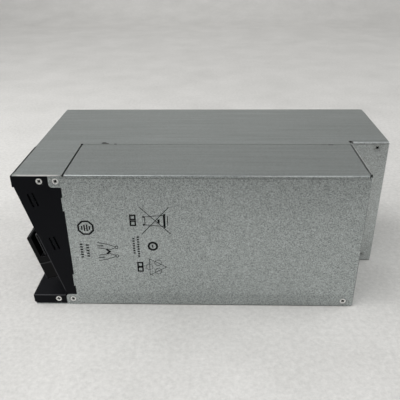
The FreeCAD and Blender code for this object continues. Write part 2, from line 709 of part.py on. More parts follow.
def blocks():
    """Nine sealed blocks in two rows. Each has its own case, its lid and two blade tabs."""
    tabs = []
    number = 0
    low, high = "(case_height - block_height) / 2", "(case_height + block_height) / 2"
    for count, start in ((FAR_BLOCKS, "far_row"), (NEAR_BLOCKS, "near_row")):
        for place in range(count):
            number += 1
            x = f"(block_start + {place} * (block_width + block_gap))"
            body = box(f"block_body_{number}", (x, f"{start} + block_lid", low),
                       (f"{x} + block_width", f"{start} + block_lid + block_body", high))
            keep(f"battery_case_{number}", round_edges(f"block_{number}", body, "block_radius",
                                                       lambda edge: lies_along(edge, 1, [{}])))
            lid = box(f"lid_plate_{number}", (f"{x} + lid_margin", start, f"{low} + lid_margin"),
                      (f"{x} + block_width - lid_margin", f"{start} + block_lid", f"{high} - lid_margin"))
            vents = box(f"vent_recess_{number}", (f"{x} + vent_margin", f"{start} - 1",
                                                  f"{low} + vent_margin"),
                        (f"{x} + block_width - 10", f"{start} + vent_depth", f"{high} - vent_margin"))
            keep(f"battery_lid_{number}", cut(f"lid_{number}", lid, [vents]))
            for end, z in enumerate((f"{low} + tab_inset", f"{high} - tab_inset")):
                tabs.append(box(f"tab_{number}_{end}",
                                (f"{x} + tab_side", f"{start} - tab_height", f"{z} - tab_width / 2"),
                                (f"{x} + tab_side + tab_sheet", start, f"{z} + tab_width / 2")))
    keep("terminal_tabs", group("all_tabs", tabs))


def series_links():
    """Insulated link bars between neighbouring blocks, at alternate ends."""
    low, high = "(case_height - block_height) / 2", "(case_height + block_height) / 2"
    for row, count, start in (("far", FAR_BLOCKS, "far_row"), ("near", NEAR_BLOCKS, "near_row")):
        bars = []
        bottom = f"{start} - tab_height + 0.5"
        for place in range(count - 1):
            x = f"block_start + {place} * (block_width + block_gap) + tab_side + tab_sheet"
            z = f"{high} - tab_inset" if place % 2 == 0 else f"{low} + tab_inset"
            bars.append(box(f"{row}_link_{place}", (x, bottom, f"{z} - link_sheet"),
                            (f"{x} + block_width + block_gap - tab_sheet", f"{bottom} + link_sheet",
                             f"{z} + link_sheet")))
        keep(f"series_links_{row}", group(f"{row}_links", bars))


def lead(label, points):
    """Insulated lead along straight runs joined by tangent arcs."""
    corners = [Vector(*(value(term) for term in point)) for point in points]
    edges = []
    last = corners[0]
    for before, corner, after in zip(corners, corners[1:], corners[2:]):
        back, ahead = (before - corner), (after - corner)
        run = min(back.Length, ahead.Length)
        trim = LEAD_TRIM * run
        turn = math.pi - back.getAngle(ahead)
        radius = trim / math.tan(turn / 2)
        enter = corner + Vector(back).normalize() * trim
        leave = corner + Vector(ahead).normalize() * trim
        middle = (Vector(back).normalize() + Vector(ahead).normalize()).normalize()
        centre_distance = radius / math.cos(turn / 2)
        mid = corner + middle * (centre_distance - radius)
        edges.append(Part.LineSegment(last, enter).toShape())
        edges.append(Part.Arc(enter, mid, leave).toShape())
        print(label, "arc radius", round(radius, 1))
        last = leave
    edges.append(Part.LineSegment(last, corners[-1]).toShape())
    path = Part.Wire(edges)
    section = Part.Wire(Part.makeCircle(value("lead_radius"), corners[0], corners[1] - corners[0]))
    cable = doc.addObject("Part::Feature", label + "_sweep")
    cable.Shape = path.makePipeShell([section], True, True)
    expected = path.Length * math.pi * value("lead_radius") ** 2
    print(label, "length", round(path.Length, 1), "volume ratio", round(cable.Shape.Volume / expected, 4))
    keep(label, cable)


def wiring():
    """Leads from block to block, through the fuse, and to the two blades of the socket."""
    tab_x = "block_start + tab_side - 0.05"
    low = "(case_height - block_height) / 2 + tab_inset"
    high = "(case_height + block_height) / 2 - tab_inset"
    far_y, near_y = "far_row - 3.2", "near_row - 3.2"
    front = "bezel_back + 7"
    lead("cross_lead", [(tab_x, far_y, low), (front, far_y, low), (front, "far_row - 34", f"{low} - 4"),
                        (front, "near_row + 30", f"{low} - 3.2"), (front, near_y, low), (tab_x, near_y, low)])
    beside = f"block_start + {FAR_BLOCKS - 1} * (block_width + block_gap) + tab_side - lead_radius - 0.1"
    lead("positive_lead", [(beside, far_y, f"{high} - 4"), (f"{beside} - 1", f"{far_y} - 0.6",
                                                            f"{high} - 26"),
                           (f"{beside} + 1.5", f"{far_y} - 0.4", "case_height / 2 + 6"),
                           (f"{beside} + 12", f"{SOCKET_Y} + 3", "case_height / 2 - 8"),
                           ("case_length - 33", SOCKET_Y, "case_height / 2 - 11"),
                           ("case_length - 22.3", SOCKET_Y, "case_height / 2 - 11")])
    last_near = f"block_start + {NEAR_BLOCKS - 1} * (block_width + block_gap) + tab_side + tab_sheet"
    lead("fuse_lead", [(f"{last_near} + 0.1", near_y, low), (f"{last_near} + 28", near_y, f"{low} + 0.6"),
                       ("cover_end - 24", near_y, f"{low} + 2"), (FUSE_X, "near_row + 8", f"{low} + 3"),
                       (FUSE_X, "near_row + 22", f"{low} + 9"),
                       (FUSE_X, "near_row + 22", "case_height / 2 - 30.1")])
    lead("negative_lead", [(FUSE_X, "near_row + 42", "case_height / 2 + 30.1"),
                           (FUSE_X, "near_row + 42", "case_height / 2 + 40"),
                           ("cover_end - 12", "near_row + 56", "case_height / 2 + 46"),
                           ("cover_end - 9", "near_row + 74", "case_height / 2 + 34"),
                           ("cover_end - 6", "divider_place - 8", "case_height / 2 + 17"),
                           ("cover_end + 2", "divider_place + 0.6", "case_height / 2 + 12"),
                           ("case_length - 33", SOCKET_Y, "case_height / 2 + 11"),
                           ("case_length - 22.3", SOCKET_Y, "case_height / 2 + 11")])


def fuse_parts():
    """Box for the fuse behind the near row, open towards the cover, and the capped fuse tube in it."""
    front, middle = "cover_end - fuse_back", "cover_end - fuse_back + fuse_width / 2"
    near, far = "near_row + fuse_start", "near_row + fuse_start + fuse_depth"
    shell = box("fuse_box", (front, near, f"{MIDDLE} - fuse_half_height"),
                (f"{front} + fuse_width", far, f"{MIDDLE} + fuse_half_height"))
    bay = box("fuse_bay", (f"{front} + fuse_wall", f"{near} - fuse_wall",
                           f"{MIDDLE} - fuse_half_height + fuse_end_wall"),
              (f"{front} + fuse_width - fuse_wall", f"{far} - fuse_wall",
               f"{MIDDLE} + fuse_half_height - fuse_end_wall"))
    keep("fuse_holder", cut("fuse_box_cut", shell, [bay]))
    y = "near_row + 30"
    half = "fuse_half_height - fuse_end_wall - 0.2"
    tube = cylinder("fuse_tube", (middle, y, f"{MIDDLE} - fuse_half_height + fuse_end_wall + 4"), "+z",
                    "fuse_radius", "2 * (fuse_half_height - fuse_end_wall - 4)")
    caps = [cylinder(f"fuse_cap_{tag}", (middle, y, z), "+z", "fuse_cap_radius", "fuse_cap_length")
            for tag, z in (("low", f"{MIDDLE} - ({half})"), ("high",
                                                             f"{MIDDLE} + ({half}) - fuse_cap_length"))]
    keep("fuse_link", fuse("fuse_solid", [tube] + caps))


def connector():
    """Two-pole blind-mate socket in the rear wall, with a blade in each pocket."""
    back = "case_length"
    nose = box("socket_nose", (f"{back} - socket_depth", f"{SOCKET_Y} - socket_half_width",
                               f"{MIDDLE} - socket_half_height"),
               (back, f"{SOCKET_Y} + socket_half_width", f"{MIDDLE} + socket_half_height"))
    rest = f"{back} - 2 * steel - play"
    flange = box("socket_flange", (f"{rest} - socket_flange_sheet", f"{SOCKET_Y} - socket_half_width",
                                   f"{MIDDLE} - socket_flange_half"),
                 (rest, f"{SOCKET_Y} + socket_flange_side", f"{MIDDLE} + socket_flange_half"))
    cuts, blades, screws = [], [], []
    blade_low, blade_high = f"{SOCKET_Y} - pocket_half_width", f"{SOCKET_Y} - pocket_half_width + blade_sheet"
    for number, z in enumerate(POLES_Z):
        low, high = f"{z} - blade_half_width", f"{z} + blade_half_width"
        cuts.append(box(f"pocket_{number}", (f"{back} - pocket_depth", blade_low,
                                             f"{z} - pocket_half_height"),
                        (f"{back} + 1", f"{SOCKET_Y} + pocket_half_width", f"{z} + pocket_half_height")))
        cuts.append(box(f"blade_slot_{number}", (f"{back} - socket_depth - 1", blade_low, low),
                        (f"{back} - pocket_depth + 1", blade_high, high)))
        blades.append(box(f"blade_{number}", (f"{back} - socket_depth", blade_low, low),
                          (f"{back} - blade_short", blade_high, high)))
    start = f"{rest} - socket_flange_sheet"
    for number, z in enumerate(BOLTS_Z):
        cuts.append(cylinder(f"flange_bolt_{number}", (f"{back} - 12", SOCKET_Y, z), "+x", "shank_radius",
                             "12"))
        head = cylinder(f"bolt_head_{number}", (f"{start} - bolt_head_height", SOCKET_Y, z), "+x",
                        "bolt_head_radius", "bolt_head_height")
        shank = cylinder(f"bolt_shank_{number}", (start, SOCKET_Y, z), "+x", "shank_radius",
                         "socket_flange_sheet + steel")
        screws.append(fuse(f"connector_screw_{number}", [head, shank]))
    keep("connector_shell", cut("socket_cut", fuse("socket_solid", [nose, flange]), cuts))
    keep("connector_contacts", group("both_blades", blades))
    keep("connector_screws", group("socket_screws", screws))


def padding():
    """Foam strips under and over the rows, pads at both ends of the far row, and two films."""
    low, high = "(case_height - block_height) / 2", "(case_height + block_height) / 2"
    far_end = f"block_start + {FAR_BLOCKS} * (block_width + block_gap)"
    near_end = f"block_start + {NEAR_BLOCKS} * (block_width + block_gap)"
    rows = (("far", "far_row + foam_start", "case_depth - steel - 3", far_end),
            ("near", "near_row + foam_start", "flange_depth - tongue_length - 1", near_end))
    for label, bottom, top in (("lower_foam", "steel + foam_play", low),
                               ("upper_foam", high, "case_height - steel - foam_play")):
        strips = [box(f"{label}_{row}", ("block_start", start, bottom), (end, stop, top))
                  for row, start, stop, end in rows]
        keep(label, group(f"{label}_strips", strips))
    start, stop = "far_row + foam_start", "case_depth - 6"
    keep("rear_foam", box("rear_pad", (far_end, start, "foam_margin"),
                          ("case_length - steel", stop, "case_height - foam_margin")))
    keep("front_foam", box("front_pad", ("bezel_back + bulkhead_gap + steel", start, "2 * foam_margin"),
                           ("block_start", stop, "case_height - foam_margin")))
    top = "case_height - film_margin"
    near, far = "steel + film_gap", "divider_place + steel + film_gap"
    keep("cover_film", box("cover_sheet", ("flange_start + film_margin", near, "film_margin"),
                           ("cover_end - 16", f"{near} + film", top)))
    keep("divider_film", box("divider_sheet", ("block_start + 6", far, "film_margin"),
                             ("cover_end - rear_notch_length - 2", f"{far} + film", top)))


def fasteners():
    """Countersunk screws of the cover, bezel and strip, their clinch nuts, and the grip's screws."""
    cover = [sunk_screw(f"ear_screw_{k}", x, "0", z) for k, (x, z) in enumerate(EAR_SCREWS + [REAR_SCREW])]
    keep("cover_screws", group("cover_screw_set", cover))
    bezel, nuts = [], []
    for k, (x, z) in enumerate(BEZEL_SCREWS):
        bezel.append(sunk_screw(f"bezel_screw_{k}", x, "0", z))
        bezel.append(sunk_screw(f"bezel_far_screw_{k}", x, "case_depth", z, "-y"))
        nuts.append(clinch_nut(f"far_nut_{k}", x, "case_depth - 2 * steel", z, "-y"))
    keep("bezel_screws", group("bezel_screw_set", bezel))
    strip = [sunk_screw(f"strip_screw_{k}", x, "notch_depth", z) for k, (x, z) in enumerate(STRIP_SCREWS)]
    keep("strip_screws", group("strip_screw_set", strip))
    nuts += [clinch_nut(f"lip_nut_{k}", x, "2 * steel", z) for k, (x,
                                                                   z) in enumerate(EAR_SCREWS + BEZEL_SCREWS)]
    nuts += [clinch_nut(f"strip_nut_{k}", x, "notch_depth + 2 * steel", z, outer_face="notch_depth")
             for k, (x, z) in enumerate(STRIP_SCREWS)]
    nuts.append(clinch_nut("rear_nut", REAR_SCREW[0], "steel", REAR_SCREW[1]))
    keep("clinch_nuts", group("nut_set", nuts))
    x, z = on_slant("pocket_floor + grip_screw_drop", "0")
    skin = "wall / cos(slant)"
    screws = []
    for number, place in enumerate(GRIP_SCREW_Y):
        head = cylinder(f"grip_screw_head_{number}", (f"{x} + {skin}", place, z), "+x", "head_radius",
                        "grip_head_height")
        shank = cylinder(f"grip_screw_shank_{number}", (f"{x} - grip_thread", place, z), "+x", "shank_radius",
                         f"grip_thread + {skin} + 0.1")
        screws.append(fuse(f"grip_screw_{number}", [head, shank]))
    keep("grip_screws", group("grip_screw_set", screws))


def check_and_write():
    doc.recompute()
    failed = [item.Name for item in doc.Objects if {"Invalid", "Error"} & set(item.State)]
    if failed:
        raise RuntimeError(f"features failed: {failed}")
    for label, thing in pieces.items():
        if thing.Shape.isNull() or not thing.Shape.isValid() or not thing.Shape.Solids:
            raise RuntimeError(f"{label} has no valid solid")
    os.makedirs("parts", exist_ok=True)
    for label, thing in pieces.items():
        thing.Shape.exportStep(f"parts/{label}.step")
        span = thing.Shape.BoundBox
        print(f"{label}: {len(thing.Shape.Solids)} solids, {thing.Shape.Volume / 1000:.2f} cm3, "
              f"{span.XLength:.1f} x {span.YLength:.1f} x {span.ZLength:.1f} mm")
    print(len(pieces), "pieces")


make_sheet()
main_case()
cover_tray()
inner_sheets()
front_bezel()
grip()
catch_lever()
blocks()
series_links()
wiring()
fuse_parts()
connector()
padding()
fasteners()
check_and_write()
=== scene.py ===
# %% [markdown]
# # A rack battery module, dressed over its CAD frame
#
# The module is a folded box of galvanised sheet with a moulded black bezel at one end. It stands on
# one of its long narrow sides, with the printed cover towards the camera. The sheet-metal work, the
# moulding and the lever all come from the CAD frame at their real size. This lesson gives them the
# finish that such things have: zinc spangle, crisp rolled bends, moulded grain, plated screws and
# the ink of the printed signs.

# %% Load the frame
import math
import bmesh
import bpy
import numpy as np
from mathutils import Matrix, Vector


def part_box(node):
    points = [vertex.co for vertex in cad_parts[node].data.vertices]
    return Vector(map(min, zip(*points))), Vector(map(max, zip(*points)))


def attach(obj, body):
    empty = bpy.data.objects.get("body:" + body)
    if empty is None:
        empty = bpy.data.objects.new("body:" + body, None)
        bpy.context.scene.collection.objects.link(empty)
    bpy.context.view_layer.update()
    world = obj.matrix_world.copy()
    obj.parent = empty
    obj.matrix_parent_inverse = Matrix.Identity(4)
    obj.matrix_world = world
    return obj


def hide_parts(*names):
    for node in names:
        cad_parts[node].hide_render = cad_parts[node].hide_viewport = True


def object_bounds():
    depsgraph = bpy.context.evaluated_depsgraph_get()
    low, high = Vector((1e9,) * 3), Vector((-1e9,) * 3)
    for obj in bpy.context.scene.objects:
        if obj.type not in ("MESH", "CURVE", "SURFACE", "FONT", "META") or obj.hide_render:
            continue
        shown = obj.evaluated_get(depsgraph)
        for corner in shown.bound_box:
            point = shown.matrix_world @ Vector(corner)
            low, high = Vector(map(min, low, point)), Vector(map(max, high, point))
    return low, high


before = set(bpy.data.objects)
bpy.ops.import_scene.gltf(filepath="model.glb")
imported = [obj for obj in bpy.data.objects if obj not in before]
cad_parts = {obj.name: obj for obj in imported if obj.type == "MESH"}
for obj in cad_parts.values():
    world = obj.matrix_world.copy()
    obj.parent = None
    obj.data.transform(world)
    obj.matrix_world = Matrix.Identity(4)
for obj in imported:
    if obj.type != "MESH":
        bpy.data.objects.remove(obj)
cad_low, cad_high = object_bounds()
MM = 0.001
print("CAD box in mm", [round((b - a) / MM, 1) for a, b in zip(cad_low, cad_high)])

# %% [markdown]
# ## Places worth naming
#
# Every size in this file starts from the frame. Each piece reports its own box, so a screw, a sign
# or a scuff can be put where the sheet really is. The face that carries the print is the lowest y
# of the cover, and the front of the bezel is the lowest x of the whole object.

# %% Landmarks from the frame
cover_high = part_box("cover_tray")[1]
case_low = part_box("main_case")[0]
FRONT, REAR = cad_low.x, cad_high.x
FACE, FAR = cad_low.y, cad_high.y
TOP = cad_high.z
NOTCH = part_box("strip_screws")[0].y
print("printed face y", round(FACE / MM, 1), "notch wall y", round(NOTCH / MM, 1))

# %% [markdown]
# ## The camera
#
# The module is seen from a little above and almost square to its printed face. A lens of 46 mm on a
# full-frame sensor gives the mild perspective that makes the top sheet narrow towards the back. The
# camera is turned by three plain angles: how far it swings left, how far it looks down, and how far
# it leans.

# %% Camera
CAMERA_PLACE = (0.0020, -0.5472, 0.3598)
SWING, LOOK_DOWN, LEAN = 1.8, 27.42, -0.61
LENS = 45.56

camera_data = bpy.data.cameras.new("camera")
camera_data.lens = LENS
camera_data.sensor_width = 36.0
camera = bpy.data.objects.new("camera", camera_data)
bpy.context.scene.collection.objects.link(camera)
turn = (Matrix.Rotation(math.radians(SWING), 4, "Z")
        @ Matrix.Rotation(math.radians(90 - LOOK_DOWN), 4, "X")
        @ Matrix.Rotation(math.radians(LEAN), 4, "Z"))
camera.matrix_world = Matrix.Translation(CAMERA_PLACE) @ turn
bpy.context.scene.camera = camera
print("camera at", CAMERA_PLACE, "lens", LENS)

# %% [markdown]
# ## Node helpers
#
# A procedural material is a small graph. One helper starts a material and hands back its shader, and
# the other adds a node with its settings and joins its inputs. All patterns read Object coordinates,
# in metres, so a scale of 300 means about 300 cells in a metre.

# %% Graph helpers
def start_material(name):
    """A material with nothing but a Principled shader, and the Object coordinates that patterns read."""
    material = bpy.data.materials.new(name)
    material.use_nodes = True
    tree = material.node_tree
    tree.nodes.clear()
    output = tree.nodes.new("ShaderNodeOutputMaterial")
    shader = tree.nodes.new("ShaderNodeBsdfPrincipled")
    tree.links.new(shader.outputs["BSDF"], output.inputs["Surface"])
    place = tree.nodes.new("ShaderNodeTexCoord").outputs["Object"]
    return material, tree, shader, place


def add(tree, kind, inputs=(), **settings):
    """Add a node, set its properties, and fill its inputs with values or with other nodes' sockets."""
    node = tree.nodes.new("ShaderNode" + kind)
    for key, value in settings.items():
        setattr(node, key, value)
    for key, value in dict(inputs).items():
        if isinstance(value, bpy.types.NodeSocket):
            tree.links.new(value, node.inputs[key])
        else:
            node.inputs[key].default_value = value
    return node


print("graph helpers ready")

# %% [markdown]
# Three short helpers make up most of a recipe. A ramp turns a number into a tone, a mix blends two
# tones, and a noise gives the number that the tones follow.

# %% Tone helpers
def ramp(tree, factor, stops):
    """A colour ramp. Each stop is a place from 0 to 1 and a grey value or a colour."""
    node = add(tree, "ValToRGB", {"Fac": factor})
    band = node.color_ramp
    while len(band.elements) < len(stops):
        band.elements.new(0.5)
    for element, (place, tone) in zip(band.elements, stops):
        element.position = place
        element.color = (*tone, 1.0) if isinstance(tone, tuple) else (tone, tone, tone, 1.0)
    return node.outputs["Color"]


def mix(tree, factor, first, second, blend="MIX"):
    """Blend two colours, each a value or a socket."""
    return add(tree, "MixRGB", {"Fac": factor, "Color1": first, "Color2": second},
               blend_type=blend).outputs["Color"]


def noise(tree, place, scale, detail=4.0, rough=0.55):
    """Fractal noise from 0 to 1. scale is in cells per metre."""
    return add(tree, "TexNoise", {"Vector": place, "Scale": scale, "Detail": detail,
                                  "Roughness": rough}).outputs["Fac"]


print("tone helpers ready")

# %% [markdown]
# ## Marks at chosen places
#
# Dirt, shadow and wear belong at certain places, so they are placed one by one. A mark is an
# ellipsoid or a box with a soft rim, in the module's own frame, and a list of marks becomes one mask.
# Where two marks meet, the stronger one wins.

# %% Marks
SOFT_RIM = 0.7


def spots(tree, place, marks):
    """Mask of soft marks: each is a centre, its three half sizes in metres, and its strength.

    A point's distance from the centre is divided by the half sizes, and the mark fades out where
    that reaches one. A mark given as "box" measures by its largest part instead of its length.
    """
    total = None
    for centre, half, strength, *shape in marks:
        away = add(tree, "VectorMath", {0: place, 1: centre}, operation="SUBTRACT").outputs["Vector"]
        shares = {0: away, 1: [1.0 / size for size in half]}
        scaled = add(tree, "VectorMath", shares, operation="MULTIPLY").outputs["Vector"]
        if shape:
            sizes = add(tree, "VectorMath", {0: scaled}, operation="ABSOLUTE").outputs["Vector"]
            part = add(tree, "SeparateXYZ", {"Vector": sizes}).outputs
            pair = add(tree, "Math", {0: part["X"], 1: part["Y"]}, operation="MAXIMUM").outputs["Value"]
            length = add(tree, "Math", {0: pair, 1: part["Z"]}, operation="MAXIMUM").outputs["Value"]
        else:
            length = add(tree, "VectorMath", {0: scaled}, operation="LENGTH").outputs["Value"]
        level = add(tree, "MapRange", {"Value": length, "From Min": 1.0, "From Max": SOFT_RIM,
                                       "To Min": 0.0, "To Max": strength}).outputs["Result"]
        total = level if total is None else add(tree, "Math", {0: total, 1: level},
                                                operation="MAXIMUM").outputs["Value"]
    return total


def line(low, high, reach, strength):
    """A straight mark between two corners of the frame, given in metres, with a reach round it."""
    low, high = Vector(low), Vector(high)
    return ((low + high) / 2, [h + reach for h in (high - low) / 2], strength, "box")


print("a mark fades over the last", round(100 * (1 - SOFT_RIM)), "% of its size")

# %% [markdown]
# A bump node tilts the shading as if the surface rose and fell, but moves nothing.

# %% Relief
def bump(tree, shader, height, distance, strength):
    """Join a height to the shader's normal. distance is the height in metres of a full step."""
    relief = add(tree, "Bump", {"Height": height, "Distance": distance, "Strength": strength})
    tree.links.new(relief.outputs["Normal"], shader.inputs["Normal"])


print("relief helper ready")

# %% [markdown]
# ## Galvanised sheet
#
# Hot-dip zinc freezes in crystals, and each crystal mirrors the room at its own angle. This spangle is
# about 0.6 mm across, so the eye reads it as a fine even grain. It is made with Voronoi cells, whose
# random cell colour nudges the tone and the roughness of each crystal. The sides that lie on top have
# been wiped and handled, so there the grain gives way to faint streaks along the sheet.

# %% Galvanised sheet
ZINC = (0.418, 0.448, 0.444)
DIRT_AND_SHADE_TONE = (0.045, 0.045, 0.043, 1.0)
PAINTED_LIGHT_TONE = (0.98, 0.98, 0.97, 1.0)


def galvanised(name, tone, marks, painted_lights=(), top_tone=1.0, spangle=1700.0,
               contrast=0.60, roughness=0.42):
    """Zinc sheet: Voronoi crystals, streaks on the upper side, dark marks of dirt and painted shade, and
    painted highlights.
    """
    material, tree, shader, place = start_material(name)
    crystals = add(tree, "TexVoronoi", {"Vector": place, "Scale": spangle, "Randomness": 1.0})
    grey = add(tree, "SeparateColor", {"Color": crystals.outputs["Color"]}).outputs["Red"]
    mottle = mix(tree, 0.5, grey, noise(tree, place, spangle * 1.3, 2.0, 0.6))
    grain = ramp(tree, mottle, [(0.2, 1.0 - contrast), (0.8, 1.0 + contrast)])
    along = add(tree, "Mapping", {"Vector": place, "Scale": (9.0, 260.0, 260.0)}).outputs["Vector"]
    streaks = noise(tree, along, 1.0, 3.0, 0.6)
    wiped = ramp(tree, streaks, [(0.3, 0.88 * top_tone), (0.7, 1.12 * top_tone)])
    height = add(tree, "SeparateXYZ", {"Vector": place}).outputs["Z"]
    upper = add(tree, "MapRange", {"Value": height, "From Min": TOP - 1.0 * MM,
                                   "From Max": TOP - 0.4 * MM}).outputs["Result"]
    pattern = mix(tree, upper, grain, mix(tree, 0.32, wiped, grain))
    cloudy = ramp(tree, noise(tree, place, 11.0, 3.0, 0.5), [(0.3, 0.965), (0.7, 1.02)])
    toned = mix(tree, 1.0, mix(tree, 1.0, pattern, cloudy, "MULTIPLY"), (*tone, 1.0), "MULTIPLY")
    # Dark marks: the scuffs are real dirt, and the rest is painted shade.
    dirt_and_shade = spots(tree, place, marks)
    colour = mix(tree, dirt_and_shade, toned, DIRT_AND_SHADE_TONE)
    # Painted highlights on edges and bends, and a patch of painted light.
    if painted_lights:
        colour = mix(tree, spots(tree, place, painted_lights), colour, PAINTED_LIGHT_TONE)
    tree.links.new(colour, shader.inputs["Base Color"])
    dulled = ramp(tree, mottle, [(0.2, roughness - 0.06), (0.8, roughness + 0.07)])
    tree.links.new(dulled, shader.inputs["Roughness"])
    shader.inputs["Metallic"].default_value = 1.0
    bump(tree, shader, mottle, 0.00003, 0.3)
    return material


print("zinc tone", ZINC)

# %% [markdown]
# ## Marks on the sheet
#
# Part of the shading is painted. Dark marks are painted shade in each screw's dimple, in the small
# relief holes and beside a raised edge, and along the bends, where it dims the light they catch. Two
# helpers turn places on the frame into marks.

# %% Dimples and relief holes
def dimples(node, inset=3.2 * MM):
    """Marks of painted shade in the pressed ring round the outer screws of a node, at the sheet's own
    surface.
    """
    low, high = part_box(node)
    rings = [(x, low.y - 0.4 * MM, z)
             for x in (low.x + inset, high.x - inset)
             for z in (low.z + inset, high.z - inset)]
    return [(ring, (5.4 * MM,) * 3, 0.30) for ring in rings]


def on_top(along, behind, half_x, half_y, strength):
    """A dark mark on the upper side: millimetres behind the front and behind the printed face."""
    return ((FRONT + along * MM, FACE + behind * MM, TOP), (half_x * MM, half_y * MM, 2 * MM), strength)


COVER_END, EAR_END = cover_high.x, FRONT + 52.5 * MM
relief_holes = [((COVER_END, NOTCH, TOP), (3.0 * MM, 3.4 * MM, 3.4 * MM), 1.8),
                ((COVER_END - 0.5 * MM, FACE, TOP - 1.0 * MM), (2.8 * MM, 3.3 * MM, 3.3 * MM), 2.4),
                ((EAR_END - 0.9 * MM, FACE, TOP), (1.7 * MM, 1.7 * MM, 2.2 * MM), 1.2),
                ((EAR_END - 0.9 * MM, FACE + 82.6 * MM, TOP), (1.7 * MM, 1.7 * MM, 2.2 * MM), 1.2)]
print(len(relief_holes), "relief holes, and the cover ends at x", round(COVER_END / MM, 1))

# %% [markdown]
# The case has three scuffs on its upper side. Its other marks are painted shade along its bends, at
# its seam with the bezel's nose, and at the edges of the notch.

# %% Marks on the case
case_marks = dimples("strip_screws") + relief_holes + [
    on_top(75.6, 86.0, 3.4, 2.8, 1.0),
    on_top(79.5, 84.6, 2.4, 1.5, 0.9),
    on_top(88.7, 83.2, 2.1, 1.1, 0.9),
    line((COVER_END, NOTCH + 2.4 * MM, TOP), (REAR, NOTCH + 2.4 * MM, TOP), 1.1 * MM, 0.4),
    line((COVER_END, NOTCH, TOP - 2.9 * MM), (REAR, NOTCH, TOP - 2.9 * MM), 0.8 * MM, 0.45),
    line((case_low.x, FACE + 2.5 * MM, TOP), (case_low.x, FACE + 77 * MM, TOP), 1.0 * MM, 1.6),
    line((case_low.x, FACE + 78 * MM, TOP), (case_low.x, FAR, TOP), 0.9 * MM, 0.4),
    line((FRONT, FAR, TOP), (REAR, FAR, TOP), 1.9 * MM, 0.6),
    line((REAR, NOTCH, TOP), (REAR, FAR, TOP), 1.5 * MM, 0.6),
    line((REAR, NOTCH, 0), (REAR, NOTCH, TOP), 1.3 * MM, 0.35),
    line((COVER_END, NOTCH, 0), (REAR, NOTCH, 0), 1.6 * MM, 0.6)]
print("dark marks on the case", len(case_marks))

# %% [markdown]
# The cover has three scuffs along the seam of its upper flange. Its other marks are painted shade
# along its bends, its lower edge, and the bend and the seam of its end flange. One wide soft mark of
# painted shade darkens the foot of its face. The upper rear corner has no screw, so it gets no dimple.

# %% Marks on the cover
cover_marks = dimples("cover_screws")[:3] + relief_holes + [
    on_top(325.9, 81.2, 4.0, 1.1, 0.9),
    on_top(318.0, 81.6, 3.0, 0.7, 0.6),
    on_top(150.0, 81.8, 3.5, 0.6, 0.4),
    line((FRONT, FACE, TOP), (COVER_END - 60 * MM, FACE, TOP), 1.9 * MM, 0.34),
    line((FRONT, FACE, TOP - 3.2 * MM), (COVER_END, FACE, TOP - 3.2 * MM), 1.0 * MM, 0.28),
    line((EAR_END, FACE, 7 * MM), (COVER_END, FACE, 7 * MM), 10 * MM, 0.10),
    line((EAR_END, FACE, 0), (COVER_END, FACE, 0), 1.6 * MM, 0.6),
    line((COVER_END - 2.4 * MM, FACE, TOP), (COVER_END - 2.4 * MM, NOTCH, TOP), 0.7 * MM, 0.7),
    line((COVER_END, FACE, 0), (COVER_END, FACE, TOP), 1.3 * MM, 0.5)]
print("dark marks on the cover", len(cover_marks))

# %% [markdown]
# Bright marks are painted highlights on the cut edge of the plate and on the bends. One pale patch of
# painted light also lifts the strip beside the notch. With all its marks listed, each sheet can be made.

# %% Bright marks and the three sheets
case_highlights = [
    line((case_low.x, FACE, TOP - 0.6 * MM), (EAR_END - 1.9 * MM, FACE, TOP - 0.6 * MM), 0.8 * MM, 1.0),
    (((COVER_END + REAR) / 2, NOTCH, TOP / 2), (31 * MM, 1.5 * MM, 115 * MM), 0.12, "box")]
cover_highlights = [
    line((COVER_END - 0.5 * MM, FACE + 3 * MM, TOP), (COVER_END - 0.5 * MM, NOTCH - 3 * MM, TOP),
         0.6 * MM, 0.38),
    line((COVER_END - 130 * MM, FACE, TOP - 0.5 * MM), (COVER_END - 4 * MM, FACE, TOP - 0.5 * MM),
         0.8 * MM, 0.24)]
case_sheet = galvanised("galvanised_sheet", ZINC, case_marks, case_highlights, top_tone=1.02)
cover_sheet = galvanised("cover_sheet", ZINC, cover_marks, cover_highlights, top_tone=0.90)
inner_sheet = galvanised("inner_sheet", tuple(0.93 * c for c in ZINC), relief_holes, spangle=1000.0)
print("three sheets, with", len(case_highlights) + len(cover_highlights), "bright marks")

# %% [markdown]
# ## Moulded black plastic
#
# The bezel is injection moulded in black, and its tool was spark-eroded to leave a fine even grain. A
# fine noise in the bump makes that grain. Plastic of this kind is almost black, a touch blue, and its
# grain scatters nearly all of the shine. Edges that rub against a rack go paler and smoother, so the
# rounded edges get a finish of their own, made paler still as a painted highlight.

# %% Moulded plastic
# Tone, reach and strength of the painted highlight lines along the bezel's edges.
EDGE_HIGHLIGHT_TONE = (0.042, 0.043, 0.047, 1.0)
HIGHLIGHT_REACH, HIGHLIGHT_STRENGTH = 0.9 * MM, 2.6


